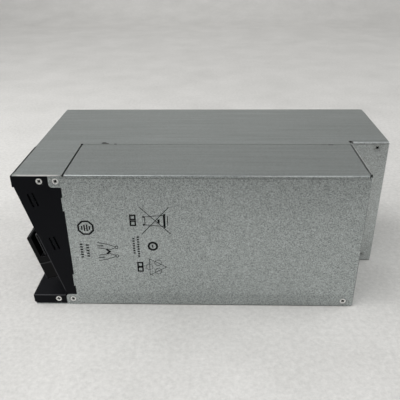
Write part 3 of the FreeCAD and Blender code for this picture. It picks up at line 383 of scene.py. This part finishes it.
def moulded(name, tone, grain=1400.0, depth=0.00006, roughness=0.48, wear=0.4,
            shine=0.42, rubbed_highlights=()):
    """Grained plastic: a fine noise for the grain, a wide one for tone, a third for pale rubbed spots.

    rubbed_highlights lists edges, each by its two ends, that get a pale line of painted highlight. The
    coordinates are turned about y until the edge lies along x, so that a box mark can follow it.
    """
    material, tree, shader, place = start_material(name)
    coarse = noise(tree, place, grain, 2.0, 0.5)
    cloud = noise(tree, place, 22.0, 4.0, 0.6)
    darker, lighter = (tuple(share * c for c in tone) for share in (0.85, 1.25))
    base = ramp(tree, cloud, [(0.3, darker), (0.75, lighter)])
    rub = ramp(tree, noise(tree, place, 160.0, 5.0, 0.7), [(0.68, 0.0), (0.8, wear)])
    pale = tuple(min(1.0, 0.02 + 2.4 * c) for c in tone)
    colour = mix(tree, rub, base, (*pale, 1.0))
    for low, high in rubbed_highlights:
        lean = math.atan2(high[2] - low[2], high[0] - low[0])
        turned = add(tree, "Mapping", {"Vector": place, "Rotation": (0.0, lean, 0.0)}).outputs["Vector"]
        back = Matrix.Rotation(lean, 3, "Y")
        mark = line(back @ Vector(low), back @ Vector(high), HIGHLIGHT_REACH, HIGHLIGHT_STRENGTH)
        colour = mix(tree, spots(tree, turned, [mark]), colour, EDGE_HIGHLIGHT_TONE)
    tree.links.new(colour, shader.inputs["Base Color"])
    dulled = ramp(tree, cloud, [(0.3, roughness - 0.05), (0.7, roughness + 0.07)])
    tree.links.new(dulled, shader.inputs["Roughness"])
    shader.inputs["Specular IOR Level"].default_value = shine
    bump(tree, shader, coarse, depth, 0.5)
    return material


print("rubbed lines reach", HIGHLIGHT_REACH / MM, "mm to each side")

# %% [markdown]
# The bezel's front leans back on its way down. Its rounded edges come out too thin for their paler
# finish and the light they catch to show, so a painted highlight, a pale line, also runs along the
# slanted edge of the cheek and along the edge of the foot.

# %% Edges with a painted highlight
LEAN_BACK = math.radians(15.4)
SLANT_TOP = Vector((FRONT + 1.7 * MM, FACE, TOP - 13.2 * MM))
CHEEK_RUN = (56.0, 131.2)
FOOT_HEIGHT = 12.3 * MM

down_slant = Vector((math.sin(LEAN_BACK), 0, -math.cos(LEAN_BACK)))
cheek_edge = [SLANT_TOP + down_slant * length * MM for length in CHEEK_RUN]
foot_edge = [(FRONT + 1.3 * MM, FACE, FOOT_HEIGHT), (cheek_edge[1].x, FACE, FOOT_HEIGHT)]
print("cheek edge", CHEEK_RUN[1] - CHEEK_RUN[0], "mm long")

# %% [markdown]
# One recipe makes every plastic on the module. The arguments say how pale, how coarse and how shiny
# each one is.

# %% The plastics
bezel_finish = moulded("bezel_plastic", (0.0028, 0.0032, 0.0046), shine=0.09, wear=0.15,
                       rubbed_highlights=[cheek_edge, foot_edge])
grip_finish = moulded("grip_plastic", (0.0026, 0.0027, 0.0031), grain=1700.0, roughness=0.44, shine=0.11)
# The bevel strips: paler from rubbing, and paler still as a painted highlight.
edge_wear_and_highlight = moulded("bezel_edges", (0.10, 0.105, 0.115), roughness=0.34, shine=0.6)
grip_edges = moulded("grip_edges", (0.018, 0.019, 0.021), roughness=0.36, shine=0.5)
case_plastic = moulded("battery_case_plastic", (0.035, 0.036, 0.038), grain=900.0, roughness=0.5)
lid_plastic = moulded("battery_lid_plastic", (0.06, 0.062, 0.068), grain=900.0, roughness=0.45)
socket_plastic = moulded("socket_plastic", (0.02, 0.02, 0.022), grain=1500.0, roughness=0.38)
print("seven moulded plastics")

# %% [markdown]
# ## Bright plate and brass
#
# Screws are zinc plated: smoother than the sheet, with a faint brushed streak. The lever's plate is
# black, rubbed bare at the near corner of its lip, and that corner is painted bright as a highlight.
# The blades sealed inside are tinned brass. A screw's recess gets painted shade: the plate reads a
# "hollow" value from the mesh and goes dark where it is one.

# %% Plated metal
RECESS_SHADE_TONE = (0.012, 0.012, 0.012, 1.0)


def plated(name, tone, roughness=0.26, streak=(1.0, 9.0, 1.0), worn_highlight=None):
    """Plated metal with fine streaks and a little dullness in patches. worn_highlight is the tone of a corner
    rubbed bare and painted bright as a highlight.
    """
    material, tree, shader, place = start_material(name)
    along = add(tree, "Mapping", {"Vector": place, "Scale": streak}).outputs["Vector"]
    lines = noise(tree, along, 900.0, 3.0, 0.6)
    patches = noise(tree, place, 180.0, 4.0, 0.6)
    bright = ramp(tree, lines, [(0.3, tuple(0.86 * c for c in tone)), (0.7, tone)])
    if worn_highlight:
        # The lip's near corner: bare plate, painted bright as a highlight.
        low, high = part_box("catch_lever")
        rubbed_highlights = spots(tree, place, [((high.x, low.y, high.z), (6 * MM, 2.5 * MM, 2.4 * MM), 0.9)])
        bright = mix(tree, rubbed_highlights, bright, (*worn_highlight, 1.0))
    # Painted shade: the screw recess goes dark where the mesh's hollow value is one.
    hollow = add(tree, "Attribute", attribute_name="hollow").outputs["Fac"]
    tree.links.new(mix(tree, hollow, bright, RECESS_SHADE_TONE), shader.inputs["Base Color"])
    dulled = ramp(tree, patches, [(0.3, roughness - 0.06), (0.75, roughness + 0.12)])
    tree.links.new(dulled, shader.inputs["Roughness"])
    shader.inputs["Metallic"].default_value = 1.0
    bump(tree, shader, lines, 0.00001, 0.3)
    return material


plate_finish = plated("zinc_plate", (0.94, 0.94, 0.92), roughness=0.36)
dull_plate = plated("dull_plate", (0.42, 0.44, 0.43), roughness=0.42)
lever_finish = plated("lever_plate", (0.050, 0.051, 0.054), roughness=0.38,
                       streak=(1.0, 0.2, 6.0), worn_highlight=(0.85, 0.85, 0.83))
brass_finish = plated("tinned_brass", (0.74, 0.70, 0.58), roughness=0.3)
print("plated finishes ready")

# %% [markdown]
# The parts sealed inside get finishes as well, because the module can be opened: soft lead sleeves,
# closed-cell foam with its tiny pits, and pale insulating board with fibres. One noise gives each its
# own grain, and the same noise raises the surface a little, so colour and relief agree.

# %% Soft and fibrous finishes
def soft(name, tone, scale, roughness, depth, contrast=0.2, shine=0.5):
    """Matt finish with one noise at the material's own scale: pits of foam, fibres of board."""
    material, tree, shader, place = start_material(name)
    grain = noise(tree, place, scale, 5.0, 0.65)
    stops = [(0.3, tuple((1 - contrast) * c for c in tone)), (0.7, tone)]
    tree.links.new(ramp(tree, grain, stops), shader.inputs["Base Color"])
    dulled = ramp(tree, grain, [(0.3, roughness), (0.8, min(1.0, roughness + 0.1))])
    tree.links.new(dulled, shader.inputs["Roughness"])
    shader.inputs["Specular IOR Level"].default_value = shine
    bump(tree, shader, grain, depth, 0.6)
    return material


foam_finish = soft("foam", (0.05, 0.05, 0.055), 700.0, 0.85, 0.0002, 0.5)
film_finish = soft("insulating_film", (0.62, 0.60, 0.54), 260.0, 0.6, 0.00003)
sleeve_finish = soft("lead_sleeve", (0.012, 0.012, 0.013), 380.0, 0.42, 0.00002)
fuse_finish = soft("fuse_tube", (0.62, 0.60, 0.55), 300.0, 0.35, 0.00001)
ink_finish = soft("print_ink", (0.009, 0.009, 0.010), 900.0, 0.55, 0.00001, 0.4, shine=0.1)
print("soft finishes ready")

# %% [markdown]
# ## Giving each CAD piece its finish
#
# A CAD piece keeps its own mesh and is only given a material. The table below pairs the start of each
# name with its finish, so one entry serves the cases of all nine battery blocks.

# %% Finish the CAD pieces
FINISHES = {
    "battery_case": case_plastic, "battery_lid": lid_plastic, "terminal_tabs": brass_finish,
    "series_links": sleeve_finish, "cross_lead": sleeve_finish, "positive_lead": sleeve_finish,
    "negative_lead": sleeve_finish, "fuse_lead": sleeve_finish, "fuse_holder": socket_plastic,
    "fuse_link": fuse_finish, "connector_shell": socket_plastic, "connector_contacts": brass_finish,
    "connector_screws": plate_finish, "connector_bracket": inner_sheet,
    "front_bulkhead": inner_sheet, "divider_shelf": inner_sheet, "clinch_nuts": plate_finish,
    "grip_screws": plate_finish, "lever_pin": plate_finish, "lever_spring": plate_finish,
    "lower_foam": foam_finish, "upper_foam": foam_finish, "rear_foam": foam_finish,
    "front_foam": foam_finish,
    "cover_film": film_finish, "divider_film": film_finish, "main_case": case_sheet,
    "cover_tray": cover_sheet, "front_bezel": bezel_finish, "grip": grip_finish,
    "catch_lever": lever_finish,
    "cover_screws": plate_finish, "bezel_screws": plate_finish, "strip_screws": plate_finish,
}


def finish_of(name):
    """The finish whose key is the longest start of the piece's name."""
    keys = [key for key in FINISHES if name.startswith(key)]
    return FINISHES[max(keys, key=len)]


for name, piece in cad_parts.items():
    piece.data.materials.clear()
    piece.data.materials.append(finish_of(name))
print("finished", len(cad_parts), "CAD pieces")

# %% [markdown]
# ## Softening the edges that the eye meets
#
# No real edge is perfectly sharp. A cut sheet has a tiny burr that was rolled off, and a moulding has
# the tool's own radius, and each shows as a thin bright line. The CAD meshes are loose triangles, so
# a copy is merged first. Its sharp edges over 5 mm long get a bevel weight.

# %% Merged copies
SHARP = math.radians(35.0)
SHORTEST = 5.0 * MM


def merged_copy(name, finishes):
    """A CAD piece's mesh with its triangles joined, and a bevel weight on its long sharp edges."""
    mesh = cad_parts[name].data.copy()
    work = bmesh.new()
    work.from_mesh(mesh)
    bmesh.ops.remove_doubles(work, verts=work.verts, dist=2e-6)
    bmesh.ops.dissolve_limit(work, angle_limit=math.radians(1.0), verts=work.verts, edges=work.edges)
    weight = work.edges.layers.float.new("bevel_weight_edge")
    for edge in work.edges:
        if edge.is_manifold and edge.calc_length() > SHORTEST and edge.calc_face_angle() > SHARP:
            edge[weight] = 1.0
    work.to_mesh(mesh)
    work.free()
    mesh.materials.clear()
    for finish in finishes:
        mesh.materials.append(finish)
    return mesh


print("edges over", SHORTEST / MM, "mm and", round(math.degrees(SHARP)), "degrees are rounded")

# %% [markdown]
# A Bevel modifier rounds the weighted edges alone, and on the mouldings its new strips take the paler
# edge finish. A Weighted Normal modifier keeps big flat faces evenly shaded next to small sloping
# ones. The copy stands for the CAD piece, and has exactly its size.

# %% Edge-softened copies
def softened(name, width, segments, finishes, body, slot):
    """A copy of a CAD piece with rounded edges. A second finish, if given, goes on the new strips."""
    mesh = merged_copy(name, finishes)
    piece = bpy.data.objects.new(name + "_skin", mesh)
    bpy.context.scene.collection.objects.link(piece)
    bevel = piece.modifiers.new("rounded edges", "BEVEL")
    bevel.width = width
    bevel.segments = segments
    bevel.limit_method = "WEIGHT"
    bevel.use_clamp_overlap = True
    bevel.material = 1 if len(finishes) > 1 else -1
    mesh.shade_smooth()
    mesh.set_sharp_from_angle(angle=SHARP)
    flat = piece.modifiers.new("flat faces stay flat", "WEIGHTED_NORMAL")
    flat.weight = 100
    flat.keep_sharp = True
    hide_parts(name)
    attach(piece, body)
    print(piece.name, len(mesh.polygons), "faces before its bevel")


SKINS = [
    ("front_bezel", 0.8 * MM, 3, [bezel_finish, edge_wear_and_highlight], "module", "bezel_plastic"),
    ("grip", 0.5 * MM, 3, [grip_finish, grip_edges], "module", "bezel_plastic"),
    ("grip_base", 0.5 * MM, 3, [grip_finish, grip_edges], "module", "bezel_plastic"),
    ("catch_lever", 0.25 * MM, 2, [lever_finish], "lever", "plated_steel"),
    ("main_case", 0.18 * MM, 2, [case_sheet], "module", "galvanised_sheet"),
    ("cover_tray", 0.18 * MM, 2, [cover_sheet], "module", "galvanised_sheet"),
]
for settings in SKINS:
    softened(*settings)

# %% [markdown]
# ## Surfaces from grids
#
# The screws and the printed signs are made from rows and columns of points. One helper lists the
# quads between neighbouring points, and the other turns points and quads into a piece.

# %% Grids and pieces
def grid_faces(rows, columns, wrap):
    """Quads of a rows by columns grid of points, closed round the columns if wrap is true."""
    across = columns if wrap else columns - 1
    row, column = np.meshgrid(np.arange(rows - 1), np.arange(across), indexing="ij")
    after = (column + 1) % columns
    here, below = row * columns, (row + 1) * columns
    corners = [here + column, here + after, below + after, below + column]
    return np.stack(corners, -1).reshape(-1, 4)


def mesh_object(name, points, faces, finish, body, smooth=True, hollow=None):
    """Put points and faces into a mesh object that rides on a CAD body."""
    mesh = bpy.data.meshes.new(name)
    mesh.from_pydata(points.tolist(), [], faces.tolist())
    mesh.materials.append(finish)
    if hollow is not None:
        mesh.attributes.new("hollow", "FLOAT", "POINT").data.foreach_set("value", hollow)
    piece = bpy.data.objects.new(name, mesh)
    bpy.context.scene.collection.objects.link(piece)
    work = bmesh.new()
    work.from_mesh(mesh)
    bmesh.ops.remove_doubles(work, verts=work.verts, dist=1e-7)
    bmesh.ops.recalc_face_normals(work, faces=work.faces)
    work.to_mesh(mesh)
    work.free()
    if smooth:
        mesh.shade_smooth()
        mesh.set_sharp_from_angle(angle=math.radians(32.0))
    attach(piece, body)
    return piece


print("a 2 by 3 grid has", len(grid_faces(2, 3, wrap=False)), "quads")

# %% [markdown]
# ## Countersunk screws
#
# Each screw head is a flat disc at the foot of the sheet's dimple, with a deep cross recess. As a
# surface it is a polar grid: the radius runs from the centre to the rim, the angle goes round, and
# the depth is a formula of both. The recess is where a point lies near either arm of the cross, or
# close to the centre. The cone under the head and the shank are rings further down the axis.

# %% Screw heads
HEAD_R, SHANK_R, SCREW_LENGTH = 3.2 * MM, 1.45 * MM, 7.9 * MM
ARM_HALF, ARM_REACH, CENTRE_R = 0.6 * MM, 2.1 * MM, 1.4 * MM
RECESS_DEPTH, RECESS_WALL = 1.5 * MM, 0.25 * MM


def recess(radius, angle, spin):
    """How far down the cross recess goes at points of the head, from 0 to 1 of its depth.

    With p and q the distances from the middles of the cross's two arms, an arm is where the smaller
    of p and q is under ARM_HALF and the radius is under ARM_REACH. The centre is where the radius is
    under CENTRE_R. Inside each of those limits the wall slopes down over RECESS_WALL.
    """
    nearer = np.minimum(np.abs(radius * np.cos(angle - spin)), np.abs(radius * np.sin(angle - spin)))
    arms = np.clip((ARM_HALF - nearer) / RECESS_WALL, 0, 1)
    arms = arms * np.clip((ARM_REACH - radius) / RECESS_WALL, 0, 1)
    return np.maximum(arms, np.clip((CENTRE_R - radius) / RECESS_WALL, 0, 1))


def screw_surface(centre, inward, spin):
    """Polar surface of one screw: a flat head with a cross recess, the cone under it and the shank."""
    angle = np.linspace(0.0, 2 * np.pi, 48, endpoint=False)[None, :]
    radius = np.linspace(0.0, 1.0, 24)[:, None] * HEAD_R * np.ones_like(angle)
    hollow = recess(radius, angle, spin)
    below = np.ones((5, 1)) * np.ones_like(angle)
    shaft_radius = np.array([HEAD_R, SHANK_R, SHANK_R, SHANK_R * 0.7, 0.0])[:, None] * below
    shaft_depth = np.array([0.2 * MM, 1.8 * MM, SCREW_LENGTH - 0.6 * MM, SCREW_LENGTH, SCREW_LENGTH])
    shaft_depth = shaft_depth[:, None] * below
    radius = np.vstack([radius, shaft_radius])
    depth = np.vstack([RECESS_DEPTH * hollow, shaft_depth])
    dark = np.vstack([hollow, 0.0 * below])
    points = np.stack([centre[0] + radius * np.cos(angle), centre[1] + inward * depth,
                       centre[2] + radius * np.sin(angle)], -1).reshape(-1, 3)
    return points, grid_faces(*radius.shape, wrap=True), dark.ravel()


print("a screw has", len(screw_surface((0, 0, 0), 1, 0)[0]), "points")

# %% [markdown]
# One formula serves every outer screw. Each is placed at a corner of its CAD node's box, and turned
# by its own angle, because nobody drives two screws to the same stop.

# %% The outer screws
def screws(node, corners, spins, finish):
    """The screws at the named corners of a CAD node's box, as one piece that replaces the node.

    A corner is three zeros or ones: low or high in x, in y and in z.
    """
    low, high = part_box(node)
    parts, start = [], 0
    for (right, far, up), spin in zip(corners, spins):
        centre = (high.x - HEAD_R if right else low.x + HEAD_R, high.y if far else low.y,
                  high.z - HEAD_R if up else low.z + HEAD_R)
        points, faces, dark = screw_surface(centre, -1 if far else 1, math.radians(spin))
        parts.append((points, faces + start, dark))
        start += len(points)
    points, faces, dark = (np.concatenate(column) for column in zip(*parts))
    piece = mesh_object(node + "_turned", points, faces, finish, "module", hollow=dark)
    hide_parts(node)
    print(node, len(parts), "screws")


screws("cover_screws", [(0, 0, 0), (0, 0, 1), (1, 0, 0)], (20, 65, 38), plate_finish)
screws("bezel_screws", [(0, 0, 0), (0, 0, 1), (0, 1, 0), (0, 1, 1)], (12, 50, 75, 31), plate_finish)
screws("strip_screws", [(0, 0, 0), (0, 0, 1)], (8, 40), dull_plate)

# %% [markdown]
# ## Printed signs
#
# The cover carries small black signs, printed with the module on its side, so they read turned by a
# quarter. They are plain drawings: an eight-sided outline with bars, a crossed box, a ring, pairs of
# squares, a triangle with three loops, a lifting figure, and dashes where words would be. Each line
# is a ribbon: the path's points, moved half the width to either side.

# %% Strokes of ink
def stroke(path, width, closed=False):
    """A ribbon of the given width along a path in the face's own plane: x to the rear and z up.

    Each point is moved half the width along the mean normal of the runs beside it, lengthened where
    the path turns so that the ribbon keeps its width at a corner.
    """
    run = np.asarray(path, float)
    before = np.roll(run, 1, 0)
    after = np.roll(run, -1, 0)
    if not closed:
        before[0], after[-1] = 2 * run[0] - run[1], 2 * run[-1] - run[-2]
    first = (run - before) / np.linalg.norm(run - before, axis=1)[:, None]
    second = (after - run) / np.linalg.norm(after - run, axis=1)[:, None]
    along = first + second
    along /= np.linalg.norm(along, axis=1)[:, None]
    side = np.stack([-along[:, 1], along[:, 0]], 1)
    stretch = 1.0 / np.clip((first * along).sum(1), 0.5, 1.0)
    offset = side * (width / 2 * stretch)[:, None]
    return run + offset, run - offset


print("a stroke has two sides:", len(stroke([[0, 0], [1, 0]], 0.1)))

# %% [markdown]
# Printed ink is a thin film. Each ribbon becomes a closed solid 0.03 mm thick, whose foot stands
# 0.012 mm off the sheet so that the two surfaces never fight for the same place.

# %% Solid strokes
INK_THICK = 0.03 * MM
INK_FOOT = 0.012 * MM


def ribbon_block(path, width, closed=False):
    """Closed thin solid of one stroke: the ribbon's two sides, at the ink's foot and at its top."""
    left, right = stroke(path, width, closed)
    count = len(left)
    foot, top = FACE - INK_FOOT, FACE - INK_FOOT - INK_THICK
    layers = [np.column_stack([edge[:, 0], np.full(count, height), edge[:, 1]])
              for edge, height in ((left, foot), (left, top), (right, top), (right, foot))]
    points = np.stack(layers, 1).reshape(-1, 3)
    faces = grid_faces(count, 4, wrap=True)
    if closed:
        last = (count - 1) * 4
        joint = [[last + k, last + (k + 1) % 4, (k + 1) % 4, k] for k in range(4)]
        return points, np.vstack([faces, joint])
    ends = [[0, 1, 2, 3], [(count - 1) * 4 + k for k in (3, 2, 1, 0)]]
    return points, np.vstack([faces, ends])


def ink(name, strokes):
    """One printed sign. Each stroke is a path, a width in metres, and whether it is closed."""
    all_points, all_faces, start = [], [], 0
    for path, width, closed in strokes:
        points, faces = ribbon_block(path, width, closed)
        all_points.append(points)
        all_faces.append(faces + start)
        start += len(points)
    points, faces = np.vstack(all_points), np.vstack(all_faces)
    mesh_object(name, points, faces, ink_finish, "module", smooth=False)
    print(name, len(strokes), "strokes")


print("ink stands", round((INK_FOOT + INK_THICK) / MM, 3), "mm proud of the sheet")

# %% [markdown]
# A few path makers draw all the signs: a polygon, rows of bars or dashes, and points listed round a
# centre in millimetres.

# %% Paths on the face
def polygon(centre, radius, sides, turned=0.0):
    """Corners of a regular polygon, the first one turned from the rearward direction by an angle."""
    angle = np.linspace(0, 2 * np.pi, sides, endpoint=False) + turned
    return np.column_stack([centre[0] + radius * np.cos(angle), centre[1] + radius * np.sin(angle)])


def on_face(along, up):
    """A point of the printed face, from millimetres behind the front and above the resting side."""
    return np.array([FRONT + along * MM, up * MM])


def bars(centre, lengths, pitch, width):
    """Short strokes side by side, in place of lines of words, running down the face."""
    rows = []
    for number, length in enumerate(lengths):
        x = centre[0] + (number - (len(lengths) - 1) / 2) * pitch
        rows.append((np.array([[x, centre[1] + length / 2], [x, centre[1] - length / 2]]), width, False))
    return rows


def dashes(centre, count, pitch, length, width):
    """A row of short dashes down the face, in place of one line of words."""
    rows = []
    for number in range(count):
        z = centre[1] + (number - (count - 1) / 2) * pitch
        rows.append((np.array([[centre[0], z + length / 2], [centre[0], z - length / 2]]), width, False))
    return rows


def around(centre, points):
    """Points given in millimetres round a centre, as places on the face."""
    return centre + np.array(points) * MM


print("path makers ready")

# %% [markdown]
# The signs sit in two columns near the front of the cover. Each is drawn round its own centre with
# simple geometry. The largest is the crossed box, whose cross is 31 mm tall.

# %% Octagon and crossed box
octagon = on_face(67.6, 98.1)
ink("sign_octagon", [(polygon(octagon, 8.1 * MM, 8, np.pi / 8), 1.9 * MM, True)]
    + bars(octagon, [4.5 * MM, 7.5 * MM, 7.5 * MM, 4.5 * MM], 2.6 * MM, 1.5 * MM))

bin_place = on_face(139.6, 106.6)
ink("sign_crossed_box", [(around(bin_place, [[-11, 4.6], [-11, -4.6], [8, -6.4], [8, 6.4]]), 0.7 * MM, True),
                         (around(bin_place, [[-15.5, 15.4], [15, -15.4]]), 0.75 * MM, False),
                         (around(bin_place, [[-14.5, -15.4], [13.5, 15.4]]), 0.75 * MM, False),
                         (around(bin_place, [[9.0, 8.2], [9.0, -8.2]]), 1.7 * MM, False),
                         (around(bin_place, [[12.2, 5.5], [12.2, -5.5]]), 0.8 * MM, False),
                         (around(bin_place, [[3.0, 1.6], [3.0, -2.4]]), 2.2 * MM, False),
                         (polygon(around(bin_place, [-12.3, 4.6]), 0.7 * MM, 12), 0.9 * MM, True),
                         (polygon(around(bin_place, [-12.3, -4.6]), 0.7 * MM, 12), 0.9 * MM, True)])

# %% [markdown]
# The ring and the rows of dashes stand where the real print has a small mark and short words.

# %% Ring, dashes, squares and triangle
ring = on_face(135.3, 76.4)
ink("sign_ring", [(polygon(ring, 4.4 * MM, 40), 2.2 * MM, True),
                  (around(ring, [[-0.3, 1.6], [-0.3, -1.6]]), 1.3 * MM, False)])

ink("sign_short_lines", dashes(on_face(120.3, 75.7), 9, 2.9 * MM, 1.7 * MM, 2.2 * MM)
    + dashes(on_face(115.7, 76.7), 7, 2.9 * MM, 1.7 * MM, 2.2 * MM))
ink("sign_weight_lines", dashes(on_face(67.1, 70.6), 5, 3.4 * MM, 1.7 * MM, 2.9 * MM)
    + dashes(on_face(60.7, 70.4), 6, 3.1 * MM, 1.7 * MM, 2.9 * MM))

for name, place, half in (("upper", on_face(116.4, 107.1), 3.4), ("lower", on_face(120.8, 50.5), 3.0)):
    squares = [(polygon(around(place, [0, shift]), 3.5 * MM, 4, np.pi / 4), 1.6 * MM, True)
               for shift in (half, -half)]
    ink("sign_squares_" + name, squares)

triangle = on_face(136.6, 50.5)
loops = [(polygon(corner, 3.5 * MM, 16), 0.5 * MM, True)
         for corner in polygon(triangle, 6.2 * MM, 3, np.pi / 3)]
ink("sign_triangle", loops + [(polygon(triangle, 12.0 * MM, 3, 0.0), 0.6 * MM, True)])

# %% [markdown]
# The lifting figure is two mirrored bodies on either side of an arrowhead. Each body is an outer line,
# an inner line, a short line between them and a small ring for the head.

# %% Lifting figure
lift = on_face(87.9, 69.4)
figure = [(around(lift, [[-1.5, 2.8], [2.2, 0.0], [-1.5, -2.8]]), 1.7 * MM, False)]
for side in (1, -1):
    figure += [(around(lift, [[-10.5, 11.4 * side], [-2.0, 9.6 * side], [7.6, 6.2 * side]]), 0.7 * MM, False),
               (around(lift, [[-10.2, 4.6 * side], [-3.0, 3.4 * side], [2.5, 2.6 * side], [7.6, 4.6 * side]]),
                0.7 * MM, False),
               (around(lift, [[-10.2, 7.0 * side], [-4.0, 7.2 * side]]), 1.0 * MM, False),
               (polygon(around(lift, [9.4, 5.4 * side]), 1.5 * MM, 16), 0.8 * MM, True)]
ink("sign_lifting", figure)

# %% [markdown]
# ## Floor and light
#
# The module stands on a pale cloth: a floor that curves up into a back wall, as a profile carried
# along a straight line. The cloth has a fine weave and a few soft folds, and its colour is darkened
# towards the table's edge on the camera's side, a painted falloff of light. The zinc mirrors that
# edge, which darkens the printed face towards its top.

# %% Sweep
def sweep_surface():
    """Floor, quarter-circle bend and wall: the arc's angle runs from 0 to 90 degrees."""
    bend, depth, reach = 0.9, 1.9, 3.2
    angle = np.linspace(0.0, np.pi / 2, 24)
    arc = np.column_stack([depth + bend * np.sin(angle), bend - bend * np.cos(angle)])
    profile = np.vstack([[-2.6, 0.0], arc, [depth + bend, 3.0]])
    side = np.array([-reach, reach])
    points = np.array([[x, y, z] for y, z in profile for x in side])
    return points, grid_faces(len(profile), 2, wrap=False)


print("the sweep has", len(sweep_surface()[0]), "points")

# %% [markdown]
# The cloth's material has two noises: wide ones raise the folds and tint them, darker where they sink
# as a painted shade, and fine ones are the weave. Its colour dims towards the table's edge, a painted
# falloff of light, between the two depths named below.

# %% The cloth
TABLE_DARK, TABLE_LIGHT = -0.54, -0.37

floor_material, floor_tree, floor_shader, floor_place = start_material("pale_cloth")
folds = noise(floor_tree, floor_place, 9.0, 5.0, 0.6)
weave = noise(floor_tree, floor_place, 190.0, 5.0, 0.8)
threads = ramp(floor_tree, weave, [(0.25, 0.84), (0.75, 1.16)])
# The tint follows the noise that the bump raises: painted shade, darker where the folds sink.
pale = ramp(floor_tree, folds, [(0.3, (0.545, 0.539, 0.522)), (0.7, (0.613, 0.605, 0.588))])
cloth = mix(floor_tree, 1.0, pale, threads, "MULTIPLY")
depth_place = add(floor_tree, "SeparateXYZ", {"Vector": floor_place}).outputs["Y"]
# Painted falloff of light: the cloth's colour darkens towards the table's edge.
painted_falloff = add(floor_tree, "MapRange", {"Value": depth_place, "From Min": TABLE_DARK,
                                     "From Max": TABLE_LIGHT, "To Min": 0.12,
                                     "To Max": 1.0}).outputs["Result"]
floor_tree.links.new(mix(floor_tree, 1.0, cloth, painted_falloff, "MULTIPLY"), floor_shader.inputs["Base Color"])
bump(floor_tree, floor_shader, folds, 0.004, 0.5)
floor_shader.inputs["Roughness"].default_value = 0.9
floor_shader.inputs["Specular IOR Level"].default_value = 0.1
sweep_mesh = bpy.data.meshes.new("sweep")
sweep_points, sweep_faces = sweep_surface()
sweep_mesh.from_pydata(sweep_points.tolist(), [], sweep_faces.tolist())
sweep_mesh.materials.append(floor_material)
sweep_mesh.shade_smooth()
sweep = bpy.data.objects.new("sweep", sweep_mesh)
bpy.context.scene.collection.objects.link(sweep)
print("sweep", len(sweep_faces), "faces")

# %% [markdown]
# The main light is a square panel high on the camera's left. Three weaker panels fill the wall and
# the two sides.

# %% Lights
def panel(name, place, target, size, power):
    """A square area light that faces a target point."""
    data = bpy.data.lights.new(name, "AREA")
    data.size = size
    data.energy = power
    light = bpy.data.objects.new(name, data)
    bpy.context.scene.collection.objects.link(light)
    aim = (Vector(target) - Vector(place)).to_track_quat("-Z", "Y")
    light.matrix_world = Matrix.Translation(place) @ aim.to_matrix().to_4x4()


panel("high_left", (-0.8, -0.5, 1.8), (0, 0, 0), 1.4, 20.6)
panel("wall_fill", (-0.2, 1.7, 1.4), (-0.1, 2.9, 0.2), 1.0, 4.2)
panel("left_fill", (-1.1, 0.1, 0.7), (-0.3, 0, 0.0), 0.8, 4.5)
panel("right_fill", (2.0, 0.1, 0.9), (0, 0, 0.05), 1.2, 12.0)
print("four panels")

# %% [markdown]
# The room itself is a world shader whose brightness depends on the direction. Behind the camera it is
# dark along the horizon, brightest about 24 degrees up, and dim overhead. Beyond the module it is
# bright from the horizon up to there. The two blend where the direction turns sideways.

# %% The room
world = bpy.data.worlds.new("room")
bpy.context.scene.world = world
world.use_nodes = True
room_tree = world.node_tree
room = room_tree.nodes["Background"]
direction = add(room_tree, "TexCoord").outputs["Generated"]
way = add(room_tree, "SeparateXYZ", {"Vector": direction})
behind_camera = ramp(room_tree, way.outputs["Z"], [(0.0, 0.01), (0.4, 0.393), (0.85, 0.093)])
beyond = ramp(room_tree, way.outputs["Z"], [(0.0, 0.7), (0.4, 0.7), (0.85, 0.093)])
facing = add(room_tree, "MapRange", {"Value": way.outputs["Y"], "From Min": -0.3,
                                     "From Max": 0.3}).outputs["Result"]
room_tree.links.new(mix(room_tree, facing, behind_camera, beyond), room.inputs["Color"])
room.inputs["Strength"].default_value = 3.0
bpy.context.scene.view_settings.view_transform = "Standard"
print("the room's own light has strength", room.inputs["Strength"].default_value)
